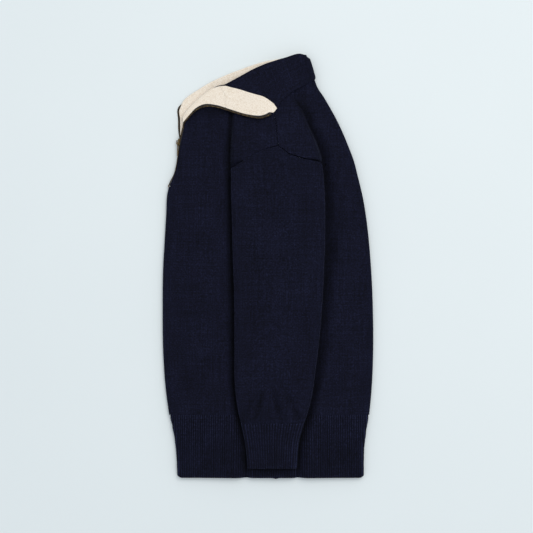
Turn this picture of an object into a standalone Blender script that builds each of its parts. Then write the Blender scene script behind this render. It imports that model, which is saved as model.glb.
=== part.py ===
# Quarter-zip sweater lying on its side on a flat surface.
# The wearer's front is at -X and the back at +X, the neck at +Y and the hem at -Y.
# Layers from the ground up: far sleeve, far half of the body, near half of the body, near sleeve.
# Every table is in millimetres; the finished meshes are in metres.

import bpy
import bmesh
import numpy as np

MM = 0.001
MIDDLE = np.array([-0.05, 2.56, 0.0])     # middle of the whole piece on the ground, in the tables' millimetres

# Cloth and layer heights, measured to the middle of each wall
CLOTH = 2.5            # thickness of the knitted walls
THIN_CLOTH = 1.2       # thickness of facings and zip tape
GROUND_MID = CLOTH / 2
FLANK_MID = 7.25       # near half of the body beside the sleeves
UNDER_RISE = 3.3       # near half rises this much where it lies over the far sleeve
FAR_RISE = 6.0         # far half rises this much over the far sleeve
LAYER_STEP = 3.6       # from the body to the lower wall of the sleeve on it
SLEEVE_LOFT = 5.9      # between the two walls of the near sleeve
FAR_SLEEVE_LOFT = 3.1
NEAR_INSET = 3.0       # from the crease to the near sleeve's edge
FAR_INSET = 18.0
CUFF_LOFT = 4.6
TURN_STEP = 3.4        # from the collar stand to the turned-down part on it
SKIN_STEP = CLOTH / 2 + 0.3 + THIN_CLOTH / 2
CREASE_RAMP = 11.0     # width of the slope beside each sleeve crease
SHOULDER_RAMP = 9.0
FAR_RAMP_START = 3.0
FAR_RAMP = 12.0
VALLEY_DEPTH = 1.3
VALLEY_WIDTH = 7.0
NECK_LIFT = 2.0        # the near half rises this much towards the neck
NECK_LIFT_Y = 270.0
NECK_LIFT_RAMP = 45.0
SEAM_GAP = 0.4
HEAD_GAP = 1.8         # between the sleeve head and the shoulder, along the body

# Ribs
RIB_PITCH = 3.9
RIB_HEIGHT = 0.8
RIB_TOP_Y = -257.5
HEM_Y = -367.6
CUFF_TOP_Y = -270.8
CUFF_END_Y = -349.6

# Sleeve rows lean towards the armhole from LEAN_FROM_Y up and join the shoulder from JOIN_FROM_Y up
LEAN_FROM_Y = -100.0
JOIN_FROM_Y = 152.0
ARMHOLE_Y = 176.0
UNDERARM_GAP = 8.0

# Near sleeve's creases on the body: y, x of the left crease
LEFT_CREASE = [
    (-358.6, -36.6), (-331.4, -38.3), (-303.4, -41.8), (-275.4, -47.6), (-245.2, -54.6), (-203.7, -59.3),
    (-145.9, -60.2), (-58.4, -60.5), (29.1, -63.3), (86.8, -64.6), (146.3, -66.3), (204.1, -65.8), (268.8, -62.8),
]
# y, x of the right crease
RIGHT_CREASE = [
    (-358.6, 50.9), (-331.4, 52.7), (-303.4, 55.3), (-280.7, 61.4), (-256.2, 70.2), (-221.2, 78.9),
    (-175.2, 85.4), (-128.4, 91.2), (-67.2, 96.4), (-0.7, 99.9), (72.8, 101.7), (146.3, 99.9),
    (192.3, 94.2), (224.2, 83.7), (249.2, 72.1), (280.0, 58.6), (295.4, 47.1),
]
# Height of the near shoulder above the flank: y, rise
SHOULDER_RISE = [(214.0, 12.8), (232.1, 9.8), (247.8, 7.5), (263.6, 5.2), (279.3, 3.3)]

# Rows of the front, hem to neck: seam x, seam y, fold x, fold y, lies under sleeve, inset of an open edge
FRONT_ROWS = [
    (14.2, -257.0, -174.5, -257.0, True, None),
    (14.2, -215.9, -180.1, -215.9, True, None),
    (14.2, -145.9, -185.0, -145.9, True, None),
    (14.2, -75.9, -185.9, -75.9, True, None),
    (14.2, 2.8, -184.7, 8.0, True, None),
    (-10.3, 46.6, -181.9, 53.6, True, None),
    (-33.1, 90.3, -179.5, 92.1, True, None),
    (-48.8, 134.1, -175.6, 138.0, True, None),
    (-56.7, 176.1, -164.6, 165.0, True, 3.2),
    (-36.6, 191.8, -159.6, 186.6, False, 3.2),
    (-10.3, 206.7, -157.3, 204.1, False, 3.2),
    (17.7, 214.6, -155.2, 218.1, False, 3.6),
    (15.9, 232.1, -150.4, 234.0, False, 1.2),
    (14.2, 247.8, -146.4, 252.0, False, 0.8),
    (12.4, 263.6, -133.5, 266.8, False, 0.8),
    (10.7, 279.3, -106.6, 284.2, False, 0.8),
]
# Rows of the back, with the same columns
BACK_ROWS = [
    (14.2, -257.0, 178.9, -257.0, True, None),
    (14.2, -215.9, 182.8, -215.9, True, None),
    (14.2, -145.9, 185.8, -145.9, True, None),
    (14.2, -75.9, 185.4, -75.9, True, None),
    (14.2, 2.8, 181.5, 8.1, True, None),
    (42.2, 46.6, 178.2, 46.6, True, None),
    (66.7, 90.3, 173.6, 85.1, True, None),
    (83.3, 134.1, 167.8, 120.1, True, None),
    (88.0, 178.0, 159.0, 156.8, True, None),
    (63.2, 190.8, 150.6, 190.1, False, None),
    (36.9, 199.7, 141.4, 214.6, False, None),
    (18.6, 213.7, 132.5, 236.4, False, None),
    (15.9, 232.1, 120.0, 262.7, False, None),
    (14.2, 247.8, 109.4, 281.9, False, None),
    (12.4, 263.6, 99.1, 299.4, False, None),
    (10.7, 279.3, 87.3, 317.5, False, None),
    (16.5, 296.0, 81.5, 333.0, False, None),
]
# Outer edges of the ribbed hem: y, front x, back x
HEM_EDGES = [
    (-367.6, -158.9, 168.7), (-338.4, -160.4, 168.8), (-303.4, -163.3, 170.7),
    (-280.2, -167.5, 173.9), (-256.0, -173.6, 178.2),
]
# Top of the near sleeve where it joins the shoulder: x, y
HEAD_SEAM = [(-60.0, 175.0), (-36.6, 191.8), (-10.3, 206.7), (17.7, 214.6), (36.9, 199.7), (63.2, 190.8), (92.0, 178.0)]
# Hidden lower half of the armhole: x, y
UNDERARM = [
    (-60.0, 176.1), (-48.8, 134.1), (-33.1, 90.3), (-10.3, 46.6), (14.2, 2.8),
    (42.2, 46.6), (66.7, 90.3), (83.3, 134.1), (92.0, 178.0),
]
SLEEVE_ROWS_Y = [-270.2, -258.0, -245.0, -215.0, -170.0, -115.0, -60.0, -5.0, 50.0, 100.0, 140.0, 160.0, 176.0]

# Collar rows, zip end to centre back:
# neck seam x, y, near turning fold x, y, near free edge x, y, far fold x, y, far neck seam x, y
COLLAR_ROWS = [
    (-142.3, 258.6, -146.5, 263.0, -142.4, 257.6, -154.6, 241.5, -149.9, 244.0),
    (-134.5, 267.6, -139.5, 273.5, -134.3, 266.8, -155.0, 262.0, -146.6, 260.0),
    (-124.0, 277.0, -128.4, 284.9, -123.5, 276.2, -155.8, 279.0, -134.8, 273.0),
    (-106.6, 285.8, -115.3, 296.8, -106.6, 281.9, -141.6, 296.5, -106.6, 285.8),
    (-85.6, 285.8, -100.4, 308.2, -85.6, 279.3, -122.3, 309.4, -85.6, 285.8),
    (-62.8, 284.6, -86.1, 316.2, -61.1, 271.4, -103.1, 321.0, -62.8, 284.6),
    (-40.1, 283.2, -75.1, 318.2, -34.8, 263.9, -83.8, 330.6, -40.1, 283.2),
    (-19.1, 281.9, -60.2, 325.9, -10.3, 261.1, -64.6, 338.8, -19.1, 281.9),
    (-1.6, 281.1, -45.3, 333.9, 6.3, 267.4, -45.3, 345.8, -1.6, 281.1),
    (9.4, 281.9, -26.1, 344.4, 16.5, 279.3, -26.1, 352.6, 9.4, 281.9),
    (15.0, 298.6, -6.8, 353.2, 22.9, 290.2, -6.8, 358.6, 15.0, 298.6),
    (31.3, 306.6, 12.4, 359.8, 34.3, 302.1, 12.4, 362.4, 31.3, 306.6),
    (47.2, 315.8, 31.7, 365.6, 49.2, 311.5, 31.7, 365.9, 47.2, 315.8),
    (63.3, 325.1, 50.9, 370.0, 66.7, 321.3, 50.9, 370.0, 63.3, 325.1),
    (75.0, 333.4, 63.5, 370.6, 80.0, 328.0, 63.5, 370.6, 75.0, 333.4),
]
ZIP_END_ROW = 8          # last collar row on the open zip
FAR_STAND = 3.1          # height of the far stand where the collar turns under it, and where it doesn't
FAR_STAND_OPEN = 1.9
FACING_LIFT = 0.5
FAR_TURN_ROW = 8         # far half of the collar turns under from this row on
BAND_ZIP = 4.4           # width that the zip takes from the facing
FACING_FIRST_ROW = 2
FACING_START = [0.1, 0.1, 0.1, 0.1, 0.12, 0.22, 0.47]     # share of the width where the facing starts, by row

# Zip at the folded front edge: y of the slider, y of the bottom stop
SLIDER_Y = 220.5
STOP_Y = 145.0
# Front fold edge beside the closed zip: y, x
ZIP_EDGE = [(138.0, -175.6), (150.0, -172.0), (165.0, -164.6), (186.6, -159.6), (204.1, -157.3), (226.0, -154.0)]

NAVY = (0.012, 0.013, 0.026, 1.0)
CREAM = (0.82, 0.74, 0.62, 1.0)
BLACK = (0.012, 0.012, 0.014, 1.0)
BRASS = (0.42, 0.26, 0.10, 1.0)


def metres(points):
    # From the tables' millimetres to metres about the middle of the piece
    return (np.asarray(points, dtype=float) - MIDDLE) * MM


def clear_scene():
    for thing in list(bpy.data.objects):
        bpy.data.objects.remove(thing)


def smooth(t):
    t = np.clip(t, 0.0, 1.0)
    return t * t * (3.0 - 2.0 * t)


def along(table, value, column=1):
    table = sorted(table)
    return np.interp(value, [row[0] for row in table], [row[column] for row in table])


def crease_distance(x, y):
    # Distance inside the footprint of the near sleeve; negative on the flanks
    return np.minimum(x - along(LEFT_CREASE, y), along(RIGHT_CREASE, y) - x)


def near_mid(x, y, under_sleeve):
    # Middle of the near half of the body: a flank, a valley at the crease, a raised bed or shoulder inside it
    inside = crease_distance(x, y)
    bed = UNDER_RISE * smooth(inside / CREASE_RAMP)
    shoulder = along(SHOULDER_RISE, y) * smooth(inside / SHOULDER_RAMP)
    valley = VALLEY_DEPTH * np.exp(-(inside / VALLEY_WIDTH) ** 2) * smooth((285.0 - y) / 30.0)
    lift = NECK_LIFT * smooth((y - NECK_LIFT_Y) / NECK_LIFT_RAMP)
    height = FLANK_MID + np.where(under_sleeve, bed, shoulder) - valley
    return np.maximum(height, FLANK_MID + lift) if np.any(y > NECK_LIFT_Y) else height


def far_mid(x, y, under_sleeve):
    # Middle of the far half: flat on the ground, raised over the far sleeve
    inside = crease_distance(x, y)
    return GROUND_MID + np.where(under_sleeve, FAR_RISE * smooth((inside - FAR_RAMP_START) / FAR_RAMP), 0.0)


def material(name, colour, roughness, metallic=0.0):
    made = bpy.data.materials.new(name)
    made.use_nodes = True
    shader = made.node_tree.nodes["Principled BSDF"]
    shader.inputs["Base Color"].default_value = colour
    shader.inputs["Roughness"].default_value = roughness
    shader.inputs["Metallic"].default_value = metallic
    return made


def add_object(name, mesh, finish, collection):
    thing = bpy.data.objects.new(name, mesh)
    mesh.materials.append(finish)
    collection.objects.link(thing)
    return thing


def mesh_from(name, points, faces):
    mesh = bpy.data.meshes.new(name)
    mesh.from_pydata([tuple(point) for point in points], [], faces)
    work = bmesh.new()
    work.from_mesh(mesh)
    loose = [vertex for vertex in work.verts if not vertex.link_faces]
    bmesh.ops.delete(work, geom=loose, context="VERTS")
    bmesh.ops.recalc_face_normals(work, faces=work.faces)
    work.to_mesh(mesh)
    work.free()
    mesh.shade_smooth()
    return mesh


def grid_faces(rows, columns, closed=False, keep=None):
    faces = []
    for row in range(rows - 1):
        for column in range(columns if closed else columns - 1):
            if keep is not None and not keep(row, column):
                continue
            after = (column + 1) % columns
            start = row * columns
            above = start + columns
            faces.append((start + column, start + after, above + after, above + column))
    return faces


def cloth(name, grid, thickness, finish, collection, closed=False, keep=None):
    # A sheet through a grid of rows and columns, given its wall on both sides of the middle
    grid = np.asarray(grid, dtype=float)
    rows, columns = grid.shape[:2]
    faces = grid_faces(rows, columns, closed, keep)
    mesh = mesh_from(name, metres(grid.reshape(-1, 3)), faces)
    thing = add_object(name, mesh, finish, collection)
    wall = thing.modifiers.new("Wall", "SOLIDIFY")
    wall.thickness = thickness * MM
    wall.offset = 0.0
    return thing


def ribbed(name, grid, relief, thickness, finish, collection, closed=False):
    # A wall whose outer points stand out by the relief over a plain inner face
    grid = np.asarray(grid, dtype=float)
    rows, columns = grid.shape[:2]
    if closed:
        ahead = np.roll(grid, -1, axis=1) - np.roll(grid, 1, axis=1)
    else:
        ahead = np.gradient(grid, axis=1)
    upward = np.gradient(grid, axis=0)
    normal = np.cross(upward, ahead)
    normal /= np.linalg.norm(normal, axis=2, keepdims=True)
    outer = grid + normal * (thickness / 2 + np.asarray(relief)[..., None])
    inner = grid - normal * (thickness / 2)
    points = metres(np.concatenate([outer.reshape(-1, 3), inner.reshape(-1, 3)]))
    count = rows * columns
    skin = grid_faces(rows, columns, closed)
    faces = list(skin) + [tuple(count + index for index in reversed(face)) for face in skin]
    last = (rows - 1) * columns
    for column in range(columns if closed else columns - 1):
        after = (column + 1) % columns
        faces.append((column, count + column, count + after, after))
        faces.append((last + column, last + after, count + last + after, count + last + column))
    if not closed:
        for row in range(rows - 1):
            first = row * columns
            end = first + columns - 1
            faces.append((first, first + columns, count + first + columns, count + first))
            faces.append((end, count + end, count + end + columns, end + columns))
    return add_object(name, mesh_from(name, points, faces), finish, collection)


def crease_point(seam, fold):
    # Where the straight row from the seam to the fold crosses the sleeve's crease
    table = LEFT_CREASE if fold[0] < seam[0] else RIGHT_CREASE
    share = 0.3
    for step in range(12):
        y = seam[1] + share * (fold[1] - seam[1])
        share = (along(table, y) - seam[0]) / (fold[0] - seam[0])
    share = np.clip(share, 0.02, 0.9)
    return seam + share * (fold - seam)


INSIDE_SHARES = np.array([0.0, 0.42, 0.675, 0.805, 0.87, 0.935, 1.0])
OUTSIDE_SHARES = np.array([0.045, 0.09, 0.18, 0.36, 0.55, 0.75, 0.9, 1.0])
FOLD_ANGLES = np.radians([45.0, 90.0, 135.0])


def row_plan(seam, fold, inset, inside_shares, outside_shares):
    # Plan points of one row, from the side or shoulder seam across the crease to where the fold begins
    crease = crease_point(seam, fold)
    outward = (fold - crease) / np.linalg.norm(fold - crease)
    start = fold - outward * inset
    inside = seam + np.outer(inside_shares, crease - seam)
    outside = crease + np.outer(outside_shares, start - crease)
    return np.vstack([inside, outside]), outward


def wrapped_row(seam, fold, under, inset, inside_shares, outside_shares, far_shares=None):
    # Near layer, rounded fold and far layer of one row
    radius = (FLANK_MID - GROUND_MID) / 2
    first_inset = radius + CLOTH / 2 if inset is None else inset
    plan, outward = row_plan(seam, fold, first_inset, inside_shares, outside_shares)
    near = np.column_stack([plan, near_mid(plan[:, 0], plan[:, 1], under)])
    if far_shares is not None:
        plan = row_plan(seam, fold, first_inset, *far_shares)[0]
    far = np.column_stack([plan, far_mid(plan[:, 0], plan[:, 1], under)])[::-1]
    top, bottom = near[-1, 2], far[0, 2]
    bend = (top - bottom) / 2
    reach = first_inset - CLOTH / 2
    turn = [
        (*(near[-1, :2] + outward * reach * np.sin(angle)), bottom + bend + bend * np.cos(angle))
        for angle in FOLD_ANGLES
    ]
    return np.vstack([near, turn, far])


def body_panel(name, rows, side, finish, collection):
    grid = []
    for seam_x, seam_y, fold_x, fold_y, under, inset in rows:
        seam = np.array([seam_x + side * SEAM_GAP / 2, seam_y])
        grid.append(wrapped_row(seam, np.array([fold_x, fold_y]), under, inset, INSIDE_SHARES, OUTSIDE_SHARES))
    near_count = len(INSIDE_SHARES) + len(OUTSIDE_SHARES)
    slit = [row[5] is not None for row in rows]

    def keep(row, column):
        turning = near_count - 1 <= column < near_count + len(FOLD_ANGLES)
        return not (turning and slit[row + 1])

    return cloth(name, grid, CLOTH, finish, collection, keep=keep)


def hem_rib(name, side, finish, collection):
    # The ribbed hem: ribs on the near layer and the fold, a plain far layer
    table_column = 1 if side < 0 else 2
    grid = []
    levels = [RIB_TOP_Y - SEAM_GAP / 2, RIB_TOP_Y - 8.0, -310.0, HEM_Y]
    for y in levels:
        fold = np.array([along(HEM_EDGES, y, table_column), y])
        seam = np.array([14.2 + side * SEAM_GAP / 2, y])
        inside_count = round(75.0 / (RIB_PITCH / 2))
        outside_count = round((75.0 if side > 0 else 112.0) / (RIB_PITCH / 2))
        inside = np.linspace(0.0, 1.0, inside_count + 1)
        outside = np.linspace(0.0, 1.0, outside_count + 1)[1:]
        plain = (INSIDE_SHARES, OUTSIDE_SHARES)
        grid.append(wrapped_row(seam, fold, True, None, inside, outside, plain))
    ribs = inside_count + 1 + outside_count + len(FOLD_ANGLES)
    columns = len(grid[0])
    pattern = np.where(np.arange(columns) % 2 == 0, 0.0, RIB_HEIGHT) * (np.arange(columns) < ribs)
    relief = np.tile(pattern, (len(levels), 1))
    if side > 0:
        grid = [row[::-1] for row in grid]
        relief = relief[:, ::-1]
    return ribbed(name, grid, relief, CLOTH - RIB_HEIGHT / 2, finish, collection)


def round_edge(start, end, reach):
    # Points of the half turn between two layers; reach is how far it stands out along X
    turn = ((1 - np.cos(FOLD_ANGLES)) / 2)[:, None]
    points = start + turn * (end - start)
    points[:, 0] = start[0] + reach * np.sin(FOLD_ANGLES)
    return points


def tube_row(y_edge, loft, inset, lift, near, top_shares, low_shares):
    # One ring of a sleeve: upper wall, rounded right edge, lower wall, rounded left edge
    left = along(LEFT_CREASE, y_edge) + inset
    right = along(RIGHT_CREASE, y_edge) - inset
    reach = loft / 2
    share = np.clip((y_edge - LEAN_FROM_Y) / (ARMHOLE_Y - LEAN_FROM_Y), 0.0, 1.0)

    def layer(shares, on_head):
        x = left + reach + shares * (right - left - 2 * reach)
        base = np.interp(shares, [0.0, 1.0], [175.0, 178.0])
        # The far sleeve is narrower, so its seams are those of the near one drawn together
        widest = left - inset + NEAR_INSET, right + inset - NEAR_INSET
        on_seam = np.interp(x, [left, right], widest)
        seam_y = along(HEAD_SEAM, on_seam) - HEAD_GAP if on_head else along(UNDERARM, on_seam) - UNDERARM_GAP
        return x, y_edge + share * (seam_y - base)

    def bed(x, y):
        return near_mid(x, y, True) + lift if near else np.full_like(x, GROUND_MID)

    top_x, top_y = layer(top_shares, near)
    low_x, low_y = layer(low_shares, not near)
    low_z = bed(low_x, low_y)
    top_z = bed(top_x, top_y) + loft
    if near:
        joined = smooth((y_edge - JOIN_FROM_Y) / (ARMHOLE_Y - JOIN_FROM_Y))
        shoulder = near_mid(top_x, top_y + 1.0, False)
        top_z = top_z + joined * (shoulder - top_z)
    top = np.column_stack([top_x, top_y, top_z])
    low = np.column_stack([low_x, low_y, low_z])[::-1]
    return np.vstack([top, round_edge(top[-1], low[0], reach), low, round_edge(low[-1], top[0], -reach)])


HALF_SHARES = np.array([0.0, 0.045, 0.1, 0.19, 0.33])
SLEEVE_SHARES = np.concatenate([HALF_SHARES, [0.5], 1.0 - HALF_SHARES[::-1]])
PLAIN_SHARES = np.array([0.0, 0.12, 0.3, 0.5, 0.7, 0.88, 1.0])


def sleeve(name, near, finish, collection):
    shares = SLEEVE_SHARES if near else PLAIN_SHARES
    loft = SLEEVE_LOFT if near else FAR_SLEEVE_LOFT
    inset = NEAR_INSET if near else FAR_INSET
    rows_y = SLEEVE_ROWS_Y if near else SLEEVE_ROWS_Y[::2]
    grid = [tube_row(y, loft, inset, LAYER_STEP, near, shares, shares) for y in rows_y]
    return cloth(name, grid, CLOTH, finish, collection, closed=True)


def cuff(name, near, finish, collection):
    levels = [CUFF_TOP_Y - SEAM_GAP / 2, -290.0, -322.0, CUFF_END_Y]
    if not near:
        grid = [tube_row(y, FAR_SLEEVE_LOFT, FAR_INSET, LAYER_STEP, False, PLAIN_SHARES, PLAIN_SHARES) for y in levels]
        return cloth(name, grid, CLOTH, finish, collection, closed=True)
    ribs = np.linspace(0.0, 1.0, 45)
    grid = [tube_row(y, CUFF_LOFT, 3.4, LAYER_STEP, True, ribs, SLEEVE_SHARES) for y in levels]
    columns = len(grid[0])
    raised = np.arange(columns) < len(ribs)
    pattern = np.where(np.arange(columns) % 2 == 1, RIB_HEIGHT, 0.0) * raised
    relief = np.tile(pattern, (len(levels), 1))
    return ribbed(name, grid, relief, CLOTH - RIB_HEIGHT / 2, finish, collection, closed=True)


def envelope(x, y):
    # Highest near layer within 8 mm, which what lies on it has to clear
    steps = [(0, 0), (8, 0), (-8, 0), (0, 8), (0, -8)]
    return np.max([near_mid(x + dx, y + dy, False) for dx, dy in steps], axis=0)


TURN_SHARES = np.array([0.06, 0.2, 0.4, 0.6, 0.8, 1.0])
STAND_SHARES = np.array([0.06, 0.35, 0.7, 1.0])


def collar_heights(row):
    neck_x, neck_y = COLLAR_ROWS[row][0:2]
    stand = float(near_mid(np.array([neck_x]), np.array([neck_y]), False)[0])
    far_stand = GROUND_MID + (FAR_STAND if row >= FAR_TURN_ROW else FAR_STAND_OPEN)
    return stand, far_stand


def turned_points(row, shares):
    # Near part of the collar that is turned down: from the fold to the free edge
    neck_x, neck_y, fold_x, fold_y, edge_x, edge_y = COLLAR_ROWS[row][0:6]
    stand = collar_heights(row)[0]
    x = fold_x + shares * (edge_x - fold_x)
    y = fold_y + shares * (edge_y - fold_y)
    columns_x = fold_x + TURN_SHARES * (edge_x - fold_x)
    columns_y = fold_y + TURN_SHARES * (edge_y - fold_y)
    z = np.maximum(stand, envelope(columns_x, columns_y)) + TURN_STEP
    return np.column_stack([x, y, np.interp(shares, TURN_SHARES, z)])


def near_section(row):
    # Free edge, turning fold, stand, neck seam
    neck_x, neck_y, fold_x, fold_y = COLLAR_ROWS[row][0:4]
    stand = collar_heights(row)[0]
    turned = turned_points(row, TURN_SHARES)[::-1]
    fold = np.array([fold_x, fold_y])
    away = fold - turned[-1, :2]
    away = away / np.linalg.norm(away)
    rim = [(*(fold + away * 1.0), stand + TURN_STEP / 2)]
    x = fold_x + STAND_SHARES * (neck_x - fold_x)
    y = fold_y + STAND_SHARES * (neck_y - fold_y)
    return np.vstack([turned, rim, np.column_stack([x, y, np.full_like(x, stand)])])


def far_section(row):
    # The same columns on the far side, where the turned part lies under the stand
    fold_x, fold_y, neck_x, neck_y = COLLAR_ROWS[row][6:10]
    far_stand = collar_heights(row)[1]
    shares = TURN_SHARES[::-1]
    reach = 0.5
    x = fold_x + shares * reach * (neck_x - fold_x)
    y = fold_y + shares * reach * (neck_y - fold_y)
    turned = np.column_stack([x, y, np.full_like(x, GROUND_MID)])
    fold = np.array([fold_x, fold_y])
    away = fold - np.array([neck_x, neck_y])
    away = away / np.linalg.norm(away)
    rim = [(*(fold + away * 1.0), (GROUND_MID + far_stand) / 2)]
    x = fold_x + STAND_SHARES * (neck_x - fold_x)
    y = fold_y + STAND_SHARES * (neck_y - fold_y)
    z = far_stand + (GROUND_MID - far_stand) * smooth((STAND_SHARES - 0.62) / 0.38)
    return np.vstack([turned, rim, np.column_stack([x, y, z])])


def collar(finish, collection):
    # Runs from the near zip end round the centre back to the far zip end
    last = len(COLLAR_ROWS) - 1
    near = [near_section(row) for row in range(last + 1)]
    far = [far_section(row) for row in range(last, -1, -1)]
    bends = []
    for angle in np.radians([35.0, 90.0, 145.0]):
        turn = (1 - np.cos(angle)) / 2
        section = near[-1] + turn * (far[0] - near[-1])
        half_gap = np.abs(near[-1][:, 2] - far[0][:, 2]) / 2
        section[:, 0] += half_gap * np.sin(angle)
        bends.append(section)
    grid = near + bends + far
    turned_columns = len(TURN_SHARES)
    cut_row = len(near) + len(bends) + last - FAR_TURN_ROW

    def keep(row, column):
        return not (row >= cut_row and column < turned_columns + 1)

    return cloth("collar", grid, CLOTH, finish, collection, keep=keep)


def neck_lining(finish, collection):
    # Cream inside of the far half, seen between the far fold and the near one
    shares = np.linspace(0.05, 0.9, 6)
    grid = []
    for row in range(len(COLLAR_ROWS)):
        fold_x, fold_y, neck_x, neck_y = COLLAR_ROWS[row][6:10]
        far_stand = collar_heights(row)[1]
        x = fold_x + shares * (neck_x - fold_x)
        y = fold_y + shares * (neck_y - fold_y)
        z = far_stand + (GROUND_MID - far_stand) * smooth((shares - 0.8) / 0.3) + SKIN_STEP
        grid.append(np.column_stack([x, y, z]))
    return cloth("neck_lining", grid, THIN_CLOTH, finish, collection)


def zip_line():
    # Open edge of the near half, with the direction across it towards the fold
    edge = np.array([COLLAR_ROWS[row][4:6] for row in range(ZIP_END_ROW + 1)])
    run = np.gradient(edge, axis=0)
    inward = np.column_stack([-run[:, 1], run[:, 0]]) / np.linalg.norm(run, axis=1)[:, None]
    return edge, inward


def zip_facing(finish, collection):
    # Cream strip on the turned-back front, from its fold to the zip
    edge, inward = zip_line()
    grid = []
    for row in range(FACING_FIRST_ROW, ZIP_END_ROW + 1):
        across = np.dot(np.array(COLLAR_ROWS[row][2:4]) - edge[row], inward[row])
        end = 1.0 - (BAND_ZIP + 0.15 * row) / across
        start = FACING_START[row - FACING_FIRST_ROW]
        shares = start + np.linspace(0.0, 1.0, 9) * (end - start)
        points = turned_points(row, shares)
        points[:, 2] += SKIN_STEP + FACING_LIFT
        grid.append(points)
    # The rounded corner beyond the end of the zip
    shares = np.linspace(0.86, 0.97, 9)
    points = turned_points(ZIP_END_ROW + 1, shares)
    points[:, 2] += SKIN_STEP + FACING_LIFT
    grid.append(points)
    return cloth("zip_facing", grid, THIN_CLOTH, finish, collection)


def closed_tape_rows(near):
    # Both tapes curve down to the teeth at the folded edge
    height = (7.1, 5.3) if near else (1.4, 3.2)
    rows = []
    for y in (STOP_Y, 160.0, 186.6, 204.1, 214.9):
        x = along(ZIP_EDGE, y)
        rows.append([(x + 2.6, y, height[0]), (x + 0.9, y, height[1])])
    return rows


def zip_tape(name, near, finish, collection):
    grid = closed_tape_rows(near)
    if near:
        grid.append([(-152.0, 222.5, 9.6), (-154.9, 221.5, 7.9)])
        grid.append([(-148.8, 237.0, 9.7), (-152.2, 236.0, 9.7)])
        grid.append([(-146.8, 246.6, 9.9), (-149.6, 245.6, 10.0)])
        grid.append([(-146.4, 252.4, 10.2), (-147.2, 252.0, 12.4)])
        edge, inward = zip_line()
        for row in range(ZIP_END_ROW + 1):
            width = 2.4 if row < FACING_FIRST_ROW else BAND_ZIP - 0.5
            height = turned_points(row, np.array([0.6, 1.0]))[:, 2].max() + SKIN_STEP
            inner = edge[row] + inward[row] * width
            grid.append([(*inner, height), (*edge[row], height)])
    else:
        grid.append([(-150.6, 228.0, 0.8), (-155.4, 228.0, 1.6)])
        for row in range(ZIP_END_ROW):
            fold_x, fold_y, neck_x, neck_y = COLLAR_ROWS[row][6:10]
            inward = np.array([neck_x - fold_x, neck_y - fold_y])
            if row < 2:
                inward = np.array([1.0, 0.0])
            inward = inward / np.linalg.norm(inward)
            start = 2.0 if row < 3 else 6.0
            inner = np.array([fold_x, fold_y]) + inward * start
            outer = inner - inward * 4.8
            grid.append([(*inner, 0.6), (*outer, 0.6)])
    return cloth(name, grid, THIN_CLOTH, finish, collection)


def box(name, low, high, finish, collection):
    mesh = bpy.data.meshes.new(name)
    work = bmesh.new()
    bmesh.ops.create_cube(work, size=1.0)
    low, high = metres(low), metres(high)
    for vertex in work.verts:
        vertex.co = low + (np.array(vertex.co) + 0.5) * (high - low)
    work.to_mesh(mesh)
    work.free()
    return add_object(name, mesh, finish, collection)


def prism(name, outline, start, length, finish, collection):
    # An outline in the XZ plane, run along Y
    mesh = bpy.data.meshes.new(name)
    work = bmesh.new()
    ring = [work.verts.new(metres((x, start, z))) for x, z in outline]
    face = work.faces.new(ring)
    made = bmesh.ops.extrude_face_region(work, geom=[face])
    moved = [item for item in made["geom"] if isinstance(item, bmesh.types.BMVert)]
    bmesh.ops.translate(work, verts=moved, vec=(0.0, length * MM, 0.0))
    bmesh.ops.recalc_face_normals(work, faces=work.faces)
    work.to_mesh(mesh)
    work.free()
    return add_object(name, mesh, finish, collection)


SLIDER = {"length": 12.4, "width": 8.0, "plate": 1.2, "middle": 4.25}
PULL = {"length": 22.0, "width": 5.6, "thick": 1.2, "eye": 2.8}


def slider_face_x():
    return float(along(ZIP_EDGE, SLIDER_Y)) - 1.3


def zip_slider(finish, collection, cutters):
    # An outer and an inner plate joined by a post between the tapes, with a bridge for the pull
    x, z = slider_face_x(), SLIDER["middle"]
    half, plate = SLIDER["width"] / 2, SLIDER["plate"]
    inner = x + 6.0
    outline = [
        (x - plate, z - half), (x, z - half), (x, z - 0.35), (inner, z - 0.35), (inner, z - 1.6),
        (inner + 1.0, z - 1.6), (inner + 1.0, z + 1.6), (inner, z + 1.6), (inner, z + 0.35), (x, z + 0.35),
        (x, z + half), (x - plate, z + half),
    ]
    body = prism("zip_slider", outline, SLIDER_Y - SLIDER["length"] / 2, SLIDER["length"], finish, collection)
    top = x - plate
    bridge = box("bridge", (top - 3.4, SLIDER_Y - 3.4, z - 0.8), (top + 0.4, SLIDER_Y + 3.4, z + 0.8), finish, cutters)
    window = box("window", (top - 2.4, SLIDER_Y - 2.0, z - 2.0), (top, SLIDER_Y + 2.0, z + 2.0), finish, cutters)
    for thing in (bridge, window):
        thing.hide_render = True
        thing.display_type = "WIRE"
    cut = bridge.modifiers.new("Window", "BOOLEAN")
    cut.operation = "DIFFERENCE"
    cut.object = window
    join = body.modifiers.new("Bridge", "BOOLEAN")
    join.operation = "UNION"
    join.object = bridge
    return body


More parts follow.
